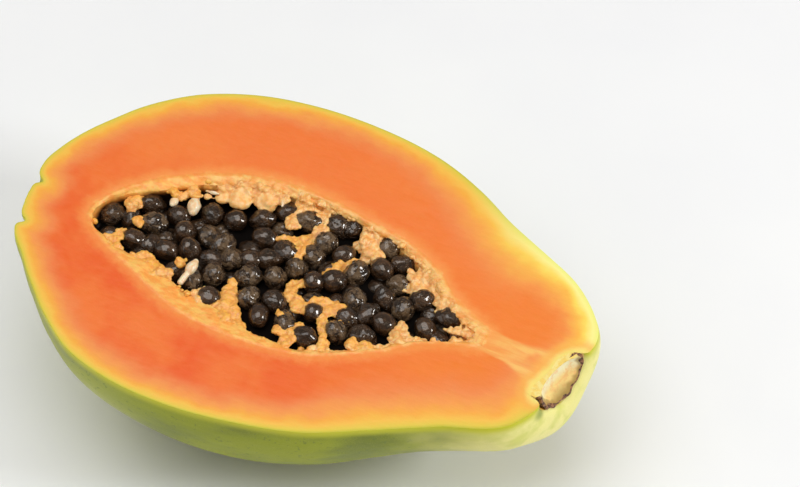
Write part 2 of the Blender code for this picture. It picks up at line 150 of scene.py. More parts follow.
# The seed cavity, and the outer edge of its torn lining on the cut face
CAVITY = (
    Station(17.9, 3.2, 1.0, 1.4),
    Station(19.4, 6.4, -1.8, 5.4),
    Station(23.5, 10.8, -4.0, 9.4),
    Station(31.0, 15.6, -6.2, 13.0),
    Station(40.0, 20.8, -8.2, 16.2),
    Station(50.0, 24.8, -11.8, 19.2),
    Station(60.0, 26.8, -14.4, 20.8),
    Station(70.0, 27.3, -17.2, 21.4),
    Station(80.0, 26.6, -17.9, 21.0),
    Station(90.0, 24.8, -15.4, 19.4),
    Station(98.0, 22.6, -11.2, 17.0),
    Station(105.0, 18.2, -7.4, 14.0),
    Station(111.0, 13.6, -3.4, 10.6),
    Station(116.0, 9.4, -1.8, 7.4),
    Station(121.0, 6.6, 0.6, 4.4),
    Station(125.0, 4.8, 2.8, 1.4),
)
LINING_EDGE = (
    (17.0, 3.4, 0.6),
    (19.5, 8.2, -2.6),
    (23.8, 13.4, -5.8),
    (31.0, 19.0, -9.2),
    (40.0, 24.0, -14.1),
    (50.0, 27.9, -18.4),
    (57.6, 29.4, -19.9),
    (66.0, 29.9, -20.7),
    (78.0, 28.6, -20.2),
    (87.0, 26.6, -18.8),
    (98.2, 24.3, -13.4),
    (105.0, 21.2, -9.6),
    (110.7, 17.5, -5.0),
    (114.2, 13.7, -3.2),
    (119.5, 10.1, -0.9),
    (125.0, 7.7, 0.4),
    (128.0, 6.4, 1.4),
)

# The heap of seeds: its top meets the cut face at the near lip and falls towards the fuller side
HEAP_NEAR_Y = -17.0
HEAP_TOP = 0.5
HEAP_FALL_BLOSSOM, HEAP_FALL_STALK = 0.09, 0.04
HEAP_FALL_TURNS = (50.0, 76.0)

# Seeds that lie on top of the heap, in the pulp or at the lip: the x and y of each, and how far it stands
# over the heap's top
SEEDS_ON_TOP = (
    (21.5, 5.5, 0.0),
    (26.3, 6.7, -1.0),
    (30.2, -0.2, 0.3),
    (30.0, 12.7, 0.4),
    (33.0, 6.9, 0.4),
    (35.1, 0.4, -0.6),
    (37.7, 12.3, 0.0),
    (39.5, 0.2, 0.2),
    (41.7, 7.8, 0.4),
    (44.1, -5.8, -0.6),
    (45.6, 16.1, 0.3),
    (45.4, 2.2, 0.4),
    (47.9, 9.0, -0.3),
    (49.4, -6.2, -0.6),
    (52.1, 16.6, 0.5),
    (52.5, 7.5, 0.2),
    (51.6, 2.2, -0.6),
    (54.3, -3.0, 0.3),
    (56.3, -10.3, 0.4),
    (56.4, 4.0, 0.2),
    (58.8, 19.3, 0.4),
    (61.0, 5.9, -0.4),
    (62.0, 14.0, -0.2),
    (63.1, 0.1, 0.4),
    (64.6, 24.1, 0.6),
    (65.3, 7.9, -0.2),
    (65.8, -6.1, 0.2),
    (68.4, 11.7, 0.0),
    (69.6, 2.4, 0.2),
    (70.4, -10.6, 0.3),
    (70.6, 23.1, 0.6),
    (72.6, -4.8, 0.3),
    (73.6, 7.2, 0.3),
    (76.1, 13.4, -1.0),
    (77.5, -9.9, 0.2),
    (77.4, 18.2, 0.3),
    (78.7, 24.8, -0.2),
    (79.6, 5.0, 0.2),
    (82.7, 26.0, -0.2),
    (83.4, -4.3, 0.2),
    (84.3, -12.4, 0.5),
    (84.4, 7.4, 0.5),
    (83.4, 16.8, -0.8),
    (88.7, 12.2, 0.0),
    (91.0, -7.6, 0.0),
    (91.6, 3.9, 0.3),
    (92.1, -2.3, -0.2),
    (93.8, 23.2, 0.2),
    (94.4, 15.9, 0.5),
    (96.6, 0.7, 0.4),
    (97.8, -6.3, 0.2),
    (98.9, 7.4, -0.2),
    (99.0, 19.6, 0.3),
    (100.2, 13.4, -0.6),
    (101.7, -0.6, 0.3),
    (104.1, 6.3, 0.0),
    (108.1, 10.3, 0.5),
    (111.9, 2.8, -0.5),
    (116.6, 7.9, 0.3),
)

# Torn pulp that grows from the lining and reaches over the seeds, from root to tip: the points of each
# strand, and its half width there
STRANDS = {
    "broad_tongue": ((65, -26, -3.2, 4.5), (63.5, -18, -2.4, 4.6), (61.5, -11, -1.8, 3.2), (60, -4, -2, 1.4)),
    "near_hook": ((81, -24, -2.5, 3), (80.4, -15, -1.1, 1.6), (81.8, -9.5, -1.4, 1.1)),
    "near_bridge": ((91, -23, -2.5, 3), (90, -14, -1.2, 1.7), (87.2, -8, -1.3, 1.5), (85.4, -3.4, -1.6, 2)),
    "island": (
        (92.5, -4, -1.8, 1.4),
        (89, -1.4, -1.8, 2.5),
        (84.5, -1.6, -1.8, 2.1),
        (80, -4.2, -1.6, 2.3),
        (75.6, -2.4, -1.9, 1.9),
        (75, 2, -2.3, 1.7),
        (79.5, 4.4, -2.5, 1.3),
        (83.4, 11, -3, 1.9),
        (85.8, 16, -3.4, 1.5),
    ),
    "far_branch": (
        (84, 31, -2.5, 3.2),
        (79.6, 26, -4, 2.2),
        (75.4, 21.6, -4.1, 1.8),
        (72.2, 16, -3.7, 2.4),
        (68.6, 15.4, -3.5, 1.5),
        (64.6, 14.4, -3.3, 0.9),
    ),
    "far_drop": ((72.2, 17, -3.9, 1.6), (72.7, 12.4, -3.2, 2.4), (73, 9.4, -2.8, 1.3)),
    "far_patch": ((95, 29, -2.5, 3.6), (91.4, 25, -3.6, 3.2), (89.7, 20.6, -3.9, 2.6), (89, 17, -3.7, 1.4)),
    "far_patch_tip": ((90.2, 21.6, -4, 2), (84.6, 20.4, -3.8, 1.3)),
    "right_patch": (
        (114, 23, -2.5, 3.2),
        (109.4, 19, -2.9, 2.6),
        (106, 15.6, -3.2, 2.3),
        (102.6, 11.4, -3, 1),
    ),
    "right_tooth": ((119, 13.5, -2.5, 2.4), (114.6, 11.4, -2.6, 1.7), (113, 8.6, -2.6, 1)),
    "near_right": ((110.5, -11, -2.5, 3), (108, -3.6, -1.4, 2.4), (105.6, 1, -1.8, 1.2)),
    "near_nib": ((101.5, -16, -2.5, 2.8), (99.4, -9.6, -1.2, 1.4)),
    "stalk_tongue": ((130, 5.2, -2.5, 2), (122, 4.4, -1.3, 1.5), (117, 3.4, -1.6, 0.8)),
    "left_near": ((21, -8.5, -2.5, 2.6), (26.2, -3.2, -1.6, 2), (26.8, 0.4, -1.9, 1)),
    "left_far": ((21.5, 15.5, -2.5, 2.6), (25.6, 11.6, -3, 2.4), (27.8, 9.4, -3.2, 1.5)),
    "left_nib": ((40, -17, -2.5, 2.6), (39.2, -9.4, -1.3, 1.7), (38.6, -6.2, -1.8, 0.9)),
}
# Smooth lumps on the far wall: middle and half width
NODULES = (
    (35.4, 17.0, -3.4, 1.2),
    (39.2, 18.6, -3.2, 1.7),
    (42.8, 19.4, -3.2, 1.4),
    (46.6, 20.6, -3.2, 2.5),
    (51.4, 21.6, -3.0, 3.9),
    (58.2, 23.2, -3.0, 3.7),
    (66.5, 25.5, -3.2, 2.4),
)
# Broad crumbly patches of pulp: middle, half width along and across the fruit, and tone
PATCHES = (
    (70.5, 24.6, -2.6, 4.8, 1.4, 0.1),
    (67.2, 20.8, -2.8, 1.2, 2.6, 0.2),
    (74.9, 20.8, -2.8, 1.3, 3.0, 0.1),
    (88.6, 23.6, -2.2, 3.6, 2.2, 0.0),
    (90.6, 20.0, -2.6, 2.8, 2.6, 0.0),
    (105.0, 17.0, -1.9, 3.4, 2.2, 0.0),
    (107.2, 13.2, -2.2, 3.2, 2.6, 0.1),
    (114.4, 11.2, -1.6, 3.4, 1.8, 0.0),
    (107.2, -3.4, -1.6, 2.8, 2.6, 0.1),
    (79.4, -14.8, -1.2, 3.6, 2.0, 0.7),
    (62.5, -13.0, -1.3, 3.0, 3.4, 0.9),
    (54.4, -11.4, -1.6, 2.6, 1.8, 0.0),
    (98.4, -10.4, -1.2, 3.2, 1.2, 0.8),
    (26.0, 9.4, -2.4, 2.2, 1.8, 0.4),
    (34.4, 17.0, -1.6, 1.4, 0.8, 0.8),
    (39.4, 18.8, -1.7, 2.4, 1.0, 0.7),
    (37.4, 16.9, -2.5, 1.0, 1.0, 0.2),
    (36.0, -5.4, -1.5, 1.8, 0.9, 0.9),
    (39.2, -6.8, -1.4, 1.8, 0.9, 0.9),
    (42.2, -8.4, -1.2, 1.6, 0.8, 0.5),
    (47.4, 23.2, -1.9, 2.4, 1.3, 0.2),
    (53.0, 25.0, -1.6, 4.2, 1.8, 0.1),
    (60.2, 26.6, -1.6, 4.0, 1.7, 0.1),
)
# Loose bits of pulp on the seeds: middle and half width
BITS = ((45.4, -4.2, -0.9, 2.1), (76.1, -9.3, -0.4, 1.6), (29.3, 5.1, -2.2, 2.2))

# The fuller side and the near side of the lip
LIP_SIDES = (LipSide(1, 1.0, 2, 44.0, 0.1, 2.2), LipSide(2, -1.0, 3, 88.0, 0.35, 1.0))

# Cream seeds that never ripened: the middle of each, its half length and half width, and where its thread
# starts
OVULES = (
    ((49.0, -5.2, 0.0), 2.2, 1.55, (48.1, -10.0, -0.5)),
    ((40.8, 15.4, -2.8), 2.3, 1.9, (40.2, 18.2, -3.0)),
    ((35.4, 14.8, -2.8), 1.5, 1.2, (35.5, 16.8, -3.2)),
    ((44.0, 20.9, -2.2), 1.5, 0.6, (42.0, 21.0, -2.6)),
    ((62.2, 25.4, -1.8), 1.9, 0.7, (61.6, 27.5, -2.0)),
)


def rgb(code: str) -> tuple[float, float, float, float]:
    """Turns a screen colour into the linear one of a shader.

    Args:
        code: Red, green and blue as six hexadecimal digits.

    Returns:
        The linear colour, opaque.
    """
    parts = [int(code[i : i + 2], 16) / 255 for i in (0, 2, 4)]
    linear = [p / 12.92 if p <= 0.04045 else ((p + 0.055) / 1.055) ** 2.4 for p in parts]
    return (*linear, 1.0)


def placed(points: np.ndarray) -> np.ndarray:
    """Moves points of the tables into the frame.

    Args:
        points: Rows of x, y and z in millimetres.

    Returns:
        The same points in metres from the frame's origin.
    """
    return (np.asarray(points, float) + TIP) * MM


def smooth_step(low: float, high: float, value: np.ndarray) -> np.ndarray:
    """Rises smoothly from 0 at low to 1 at high.

    Args:
        low: Where the rise starts.
        high: Where it ends.
        value: The places asked for.

    Returns:
        A share from 0 to 1 for each place.
    """
    share = np.clip((value - low) / (high - low), 0.0, 1.0)
    return share * share * (3.0 - 2.0 * share)


def through(rows: tuple, longest_step: float) -> np.ndarray:
    """Draws the smooth curve through the given rows.

    Args:
        rows: The rows that it passes through.
        longest_step: The largest distance between two rows of the curve.

    Returns:
        Rows along the curve.
    """
    points = np.array(rows, float)
    chord = np.linalg.norm(np.diff(points, axis=0), axis=1)
    slope = np.diff(points, axis=0) / chord[:, None]
    tangent = np.concatenate([slope, slope[-1:]])
    for i in range(1, len(slope)):
        tangent[i] = (slope[i] * chord[i - 1] + slope[i - 1] * chord[i]) / (chord[i - 1] + chord[i])
    made = [points[:1]]
    for i, length in enumerate(chord):
        steps = max(1, math.ceil(length / longest_step))
        s = np.arange(1, steps + 1)[:, None] / steps
        made.append(
            (2 * s**3 - 3 * s**2 + 1) * points[i]
            + (s**3 - 2 * s**2 + s) * length * tangent[i]
            + (3 * s**2 - 2 * s**3) * points[i + 1]
            + (s**3 - s**2) * length * tangent[i + 1]
        )
    return np.concatenate(made)


def evenly(rows: np.ndarray, count: int) -> np.ndarray:
    """Spaces sections evenly along the two rims that they draw on the cut face.

    Args:
        rows: Sections as x, far rim, near rim and further columns.
        count: How many sections to return.

    Returns:
        The sections at even distances.
    """
    along, far, near = np.diff(rows[:, :3], axis=0).T
    steps = np.hypot(along, far) + np.hypot(along, near)
    run = np.concatenate([[0.0], np.cumsum(steps)])
    at = np.linspace(0.0, run[-1], count)
    return np.stack([np.interp(at, run, column) for column in rows.T], axis=1)


def askew(points: np.ndarray) -> np.ndarray:
    """Moves the two ends of the fruit along it, as the real ones sit askew.

    Args:
        points: Rows of x, y and z on the straight fruit.

    Returns:
        The rows on the real one.
    """
    x, y, z = points.T
    blossom = 1.0 - smooth_step(0.0, BLOSSOM_LEAN_FROM, x)
    stalk = smooth_step(STALK_LEAN_FROM, STALK_LEAN_TO, x)
    x = x + blossom * BLOSSOM_LEAN * y + stalk * (STALK_LEAN * y + STALK_TUCK * z)
    return np.stack([x, y, z], axis=1)


def heap_top(x: np.ndarray, y: np.ndarray) -> np.ndarray:
    """Gives the height of the heap's top over the cut face.

    Args:
        x: Places along the fruit.
        y: Places across it.

    Returns:
        The heights.
    """
    share = np.clip((x - HEAP_FALL_TURNS[0]) / (HEAP_FALL_TURNS[1] - HEAP_FALL_TURNS[0]), 0, 1)
    fall = HEAP_FALL_BLOSSOM + (HEAP_FALL_STALK - HEAP_FALL_BLOSSOM) * share
    return HEAP_TOP - fall * (y - HEAP_NEAR_Y)


def distance_to(points: np.ndarray, line: np.ndarray) -> np.ndarray:
    """Measures how far points lie from a line in plan.

    Args:
        points: Rows of x and y.
        line: The line's corners, as rows of x and y.

    Returns:
        The shortest distance of each point.
    """
    nearest = np.full(len(points), np.inf)
    for start, end in zip(line[:-1], line[1:]):
        along = end - start
        share = np.clip((points - start) @ along / max(along @ along, 1e-9), 0, 1)
        nearest = np.minimum(nearest, np.linalg.norm(points - start - share[:, None] * along, axis=1))
    return nearest


def deselect() -> None:
    """Leaves nothing selected, so that an operator reaches only what it is meant for."""
    for obj in bpy.context.selected_objects:
        obj.select_set(False)


def object_from(name: str, points: np.ndarray, faces: list) -> bpy.types.Object:
    """Makes an object of points and faces, its faces pointing out.

    Args:
        name: The object's name.
        points: Rows of x, y and z in metres.
        faces: Lists of corners.

    Returns:
        The object, active and alone selected.
    """
    mesh = bpy.data.meshes.new(name)
    mesh.from_pydata(points.tolist(), [], faces)
    obj = bpy.data.objects.new(name, mesh)
    bpy.context.scene.collection.objects.link(obj)
    deselect()
    bpy.context.view_layer.objects.active = obj
    obj.select_set(True)
    bpy.ops.object.mode_set(mode="EDIT")
    bpy.ops.mesh.select_all(action="SELECT")
    bpy.ops.mesh.normals_make_consistent(inside=False)
    bpy.ops.object.mode_set(mode="OBJECT")
    return obj


def corners_of(mesh: bpy.types.Mesh) -> np.ndarray:
    """Reads a mesh's points as rows of x, y and z."""
    flat = np.empty(len(mesh.vertices) * 3)
    mesh.vertices.foreach_get("co", flat)
    return flat.reshape(-1, 3)


def normals_of(mesh: bpy.types.Mesh) -> np.ndarray:
    """Reads the normals at a mesh's points as rows."""
    flat = np.empty(len(mesh.vertices) * 3)
    mesh.vertex_normals.foreach_get("vector", flat)
    return flat.reshape(-1, 3)


def give(mesh: bpy.types.Mesh, name: str, values: np.ndarray) -> None:
    """Keeps one number for each point of a mesh, for its material to read.

    Args:
        mesh: The mesh.
        name: The attribute's name.
        values: One number for each point.
    """
    mesh.attributes.new(name, "FLOAT", "POINT").data.foreach_set("value", np.asarray(values, np.float32))


def move_to(mesh: bpy.types.Mesh, points: np.ndarray) -> None:
    """Moves a mesh's points to the given rows."""
    mesh.vertices.foreach_set("co", points.ravel())
    mesh.update()


# How fast a striped relief changes along its stripes, where 1 is as fast as across them
STRIPE_PACE = 0.3
# How steeply the creases of a relief fall
CREASE_STEEPNESS = 2.2


class Relief(Enum):
    """Kinds of uneven surface."""

    SOFT = "soft"
    CREASED = "creased"
    STRIPED = "striped"
    CHIPPED = "chipped"

    def height(self, point: Vector) -> float:
        """Gives the relief's height.

        Args:
            point: The place, measured in the relief's grain.

        Returns:
            The height, about -1 to 1.
        """
        if self is Relief.CHIPPED:
            gaps, middles = noise.voronoi(point)
            block = 1.2 + 1.4 * noise.noise(middles[0] * 3.0)
            return min(1.0, 3.0 * (gaps[1] - gaps[0])) * block - 0.8
        if self is Relief.STRIPED:
            point = Vector((STRIPE_PACE * point.x, point.y, point.z))
        value = noise.noise(point)
        if self is Relief.SOFT:
            return value
        return 1.0 - 2.0 * (1.0 - min(1.0, abs(value) * CREASE_STEEPNESS)) ** 3


def rumple(
    obj: bpy.types.Object, relief: Relief, height: float, grain: float, share: np.ndarray | float = 1.0
) -> np.ndarray:
    """Moves a surface's points along their normals into a relief.

    Args:
        obj: The object to change.
        relief: The kind of relief.
        height: How far a point moves at most, in millimetres.
        grain: The size of the relief's lumps, in millimetres.
        share: The share of the height that each point takes.

    Returns:
        The relief at each point, about -1 to 1.
    """
    points = corners_of(obj.data)
    made = np.array([relief.height(Vector(p) / (grain * MM)) for p in points])
    points += normals_of(obj.data) * (made * height * MM * share)[:, None]
    move_to(obj.data, points)
    return made


def chip(obj: bpy.types.Object, heights: tuple, grains: tuple, share: np.ndarray) -> None:
    """Breaks a surface into coarse and fine crumbs, and keeps the grooves between them.

    Args:
        obj: The object, which gets the point attribute "groove": low in a groove, 1 where nothing is chipped.
        heights: The height of the coarse and of the fine crumbs, in millimetres.
        grains: Their sizes, in millimetres.
        share: The share of the heights that each point takes.
    """
    coarse, fine = (rumple(obj, Relief.CHIPPED, *crumb, share) for crumb in zip(heights, grains))
    give(obj.data, "groove", share * (0.6 * coarse + 0.4 * fine) + (1.0 - share))


def grid_faces(start: int, rows: int, columns: int, closed: bool = False) -> list:
    """Lists the faces of a grid of points.

    Args:
        start: The number of its first point.
        rows: How many rows it has.
        columns: How many points a row has.
        closed: Whether each row is a ring.

    Returns:
        The corners of each face.
    """
    made = []
    for here in range(start, start + (rows - 1) * columns, columns):
        for j in range(columns if closed else columns - 1):
            k = (j + 1) % columns
            made.append((here + j, here + k, here + k + columns, here + j + columns))
    return made


def end_faces(start: int, rows: int, columns: int) -> list:
    """Lists the two faces that close a grid at its first and last row.

    Args:
        start: The number of its first point.
        rows: How many rows it has.
        columns: How many points a row has.

    Returns:
        The corners of the two faces.
    """
    firsts = (start, start + (rows - 1) * columns)
    return [tuple(range(first, first + columns)) for first in firsts]


def repeated(
    name: str, shapes: list[bpy.types.Mesh], which: np.ndarray, places: list[Matrix]
) -> bpy.types.Object:
    """Joins copies of modelled shapes into one object.

    Args:
        name: The object's name.
        shapes: The modelled shapes.
        which: The shape that each copy takes.
        places: Where each copy goes.

    Returns:
        The object. Its point attribute "copy" numbers the copies.
    """
    points, faces, numbers, start = [], [], [], 0
    patterns = [[tuple(face.vertices) for face in shape.polygons] for shape in shapes]
    for number, (kind, place) in enumerate(zip(which, places)):
        turned = np.array(place)
        copy = corners_of(shapes[kind]) @ turned[:3, :3].T + turned[:3, 3]
        points.append(copy)
        faces += [tuple(start + corner for corner in face) for face in patterns[kind]]
        numbers += [number] * len(copy)
        start += len(copy)
    made = object_from(name, np.concatenate(points), faces)
    give(made.data, "copy", numbers)
    return made


def ball(name: str, fineness: int) -> bpy.types.Mesh:
    """Models a ball of one millimetre half width at the origin.

    Args:
        name: The mesh's name.
        fineness: How often its faces are divided.

    Returns:
        Its mesh, with no object.
    """
    deselect()
    bpy.ops.mesh.primitive_ico_sphere_add(subdivisions=fineness, radius=MM)
    obj = bpy.context.object
    mesh = obj.data
    mesh.name = name
    bpy.data.objects.remove(obj)
    return mesh


def fused(name: str, places: list[Matrix], voxel: float, melt: int) -> bpy.types.Object:
    """Fuses balls into one soft skin.

    Args:
        name: The object's name.
        places: Where each ball goes, with its size.
        voxel: The size of the skin's faces, in millimetres.
        melt: How many rounds of smoothing it gets.

    Returns:
        The object.
    """
    made = repeated(name, [ball(f"{name}_ball", 2)], np.zeros(len(places), int), places)
    remesh = made.modifiers.new("Fused", "REMESH")
    remesh.mode = "VOXEL"
    remesh.voxel_size = voxel * MM
    made.modifiers.new("Melted", "SMOOTH").iterations = melt
    deselect()
    bpy.context.view_layer.objects.active = made
    made.select_set(True)
    for modifier in list(made.modifiers):
        bpy.ops.object.modifier_apply(modifier=modifier.name)
    return made


def finish_piece(obj: bpy.types.Object, node: str, slot: str, *materials: bpy.types.Material) -> None:
    """Gives a finished piece its materials and its place in the frame, and reports it.

    Args:
        obj: The piece.
        node: The CAD node that it stands for.
        slot: Not used.
        materials: Its finishes, in the order that its faces number them.
    """
    for material in materials:
        obj.data.materials.append(material)
    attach(obj, "root")
    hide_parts(node)
    obj.data.calc_loop_triangles()
    log.info("%s: %d triangles", obj.name, len(obj.data.loop_triangles))


class Recipe:
    """The nodes of one material, made by short calls that each give the socket to use next."""

    def __init__(self, name: str) -> None:
        """Starts a material with a Principled shader."""
        self.material = bpy.data.materials.new(name)
        self.material.use_nodes = True
        self.nodes = self.material.node_tree.nodes
        self.links = self.material.node_tree.links
        self.shader = self.nodes["Principled BSDF"]
        self.spot = self.nodes.new("ShaderNodeTexCoord").outputs["Object"]

    def wire(self, node: bpy.types.Node, socket: str | int, value: object) -> None:
        """Links a socket into an input, or sets the input to a plain value.

        Args:
            node: The node with the input.
            socket: The input's name or number.
            value: A socket, a number or a colour.
        """
        if isinstance(value, bpy.types.NodeSocket):
            self.links.new(value, node.inputs[socket])
        else:
            node.inputs[socket].default_value = value

    def surface(self, **settings: object) -> None:
        """Sets the shader's inputs, each named with _ for a space."""
        for name, value in settings.items():
            self.wire(self.shader, name.replace("_", " ").title().replace("Ior", "IOR"), value)

    def attribute(self, name: str) -> bpy.types.NodeSocket:
        """Reads a number kept on the mesh."""
        node = self.nodes.new("ShaderNodeAttribute")
        node.attribute_name = name
        return node.outputs["Fac"]

    def axis(self, name: str) -> bpy.types.NodeSocket:
        """Reads one coordinate, in metres."""
        node = self.nodes.new("ShaderNodeSeparateXYZ")
        self.links.new(self.spot, node.inputs[0])
        return node.outputs[name]

    def noise(
        self,
        grain: float,
        detail: float = 2.0,
        roughness: float = 0.5,
        stretch: float = 1.0,
        bend: float = 0.0,
    ) -> bpy.types.NodeSocket:
        """Makes soft noise.

        Args:
            grain: The size of its blots, in millimetres.
            detail: How many finer layers it has.
            roughness: How strong those are.
            stretch: How fine it is along the fruit, where 1 is as fine as across it.
            bend: How far it is distorted.

        Returns:
            A socket of about 0 to 1.
        """
        mapping = self.nodes.new("ShaderNodeMapping")
        self.links.new(self.spot, mapping.inputs["Vector"])
        mapping.inputs["Scale"].default_value = (stretch, 1.0, 1.0)
        node = self.nodes.new("ShaderNodeTexNoise")
        self.links.new(mapping.outputs["Vector"], node.inputs["Vector"])
        node.inputs["Scale"].default_value = 1.0 / (grain * MM)
        node.inputs["Detail"].default_value = detail
        node.inputs["Roughness"].default_value = roughness
        node.inputs["Distortion"].default_value = bend
        return node.outputs["Fac"]

    def math(self, operation: str, first: object, second: object = 0.0) -> bpy.types.NodeSocket:
        """Combines two numbers.

        Args:
            operation: The Math node's operation.
            first: A socket or a number.
            second: A socket or a number.

        Returns:
            The result.
        """
        node = self.nodes.new("ShaderNodeMath")
        node.operation = operation
        self.wire(node, 0, first)
        self.wire(node, 1, second)
        return node.outputs[0]

    def plus(self, first: object, second: object) -> bpy.types.NodeSocket:
        """Adds two numbers."""
        return self.math("ADD", first, second)

    def minus(self, first: object, second: object) -> bpy.types.NodeSocket:
        """Takes the second number from the first."""
        return self.math("SUBTRACT", first, second)

    def times(self, first: object, second: object) -> bpy.types.NodeSocket:
        """Multiplies two numbers."""
        return self.math("MULTIPLY", first, second)

    def swing(self, blots: bpy.types.NodeSocket, width: float) -> bpy.types.NodeSocket:
        """Turns noise of 0 to 1 into a shift to both sides of 0, as wide as width in all."""
        return self.times(self.minus(blots, 0.5), width)

    def span(
        self, value: object, low: float, high: float, start: float = 0.0, end: float = 1.0
    ) -> bpy.types.NodeSocket:
        """Turns a range of values smoothly into another.

        Args:
            value: The socket to read.
            low: The value that gives start.
            high: The value that gives end.
            start: The result at low and before.
            end: The result at high and after.

        Returns:
            The result.
        """
        node = self.nodes.new("ShaderNodeMapRange")
        node.interpolation_type = "SMOOTHSTEP"
        for name, number in zip(("From Min", "From Max", "To Min", "To Max"), (low, high, start, end)):
            node.inputs[name].default_value = number
        self.links.new(value, node.inputs["Value"])
        return node.outputs["Result"]

    def ramp(self, value: bpy.types.NodeSocket, *stops: tuple[float, str]) -> bpy.types.NodeSocket:
        """Turns a share into colours.

        Args:
            value: The socket to read.
            stops: Places from 0 to 1 with their colours.

        Returns:
            The colour.
        """
        node = self.nodes.new("ShaderNodeValToRGB")
        self.links.new(value, node.inputs["Fac"])
        elements = node.color_ramp.elements
        while len(elements) < len(stops):
            elements.new(0.5)
        for element, (place, code) in zip(elements, stops):
            element.position = place
            element.color = rgb(code)
        return node.outputs["Color"]

    def mix(self, factor: object, first: object, second: object) -> bpy.types.NodeSocket:
        """Mixes two colours.

        Args:
            factor: The share of the second.
            first: A colour socket or a colour code.
            second: A colour socket or a colour code.

        Returns:
            The colour.
        """
        node = self.nodes.new("ShaderNodeMix")
        node.data_type = "RGBA"
        self.wire(node, 0, factor)
        self.wire(node, 6, rgb(first) if isinstance(first, str) else first)
        self.wire(node, 7, rgb(second) if isinstance(second, str) else second)
        return node.outputs[2]

    def tint(
        self, colour: object, other: object, where: object, low: float, high: float, most: float = 1.0
    ) -> bpy.types.NodeSocket:
        """Mixes another colour in over a range of values.

        Args:
            colour: The colour so far.
            other: The colour that comes in.
            where: The socket whose value says where.
            low: The value where it starts.
            high: The value where it is strongest.
            most: Its share there.

        Returns:
            The colour.
        """
        return self.mix(self.span(where, low, high, 0.0, most), colour, other)

    def bump(self, height: bpy.types.NodeSocket, depth: float, onto: object = None) -> bpy.types.NodeSocket:
        """Makes a normal from a height.

        Args:
            height: The height from 0 to 1.
            depth: What a height of 1 means, in millimetres.
            onto: A normal that it adds to.

        Returns:
            The normal.
        """
        node = self.nodes.new("ShaderNodeBump")
        node.inputs["Distance"].default_value = depth * MM
        self.links.new(height, node.inputs["Height"])
        if onto is not None:
            self.links.new(onto, node.inputs["Normal"])
        return node.outputs["Normal"]


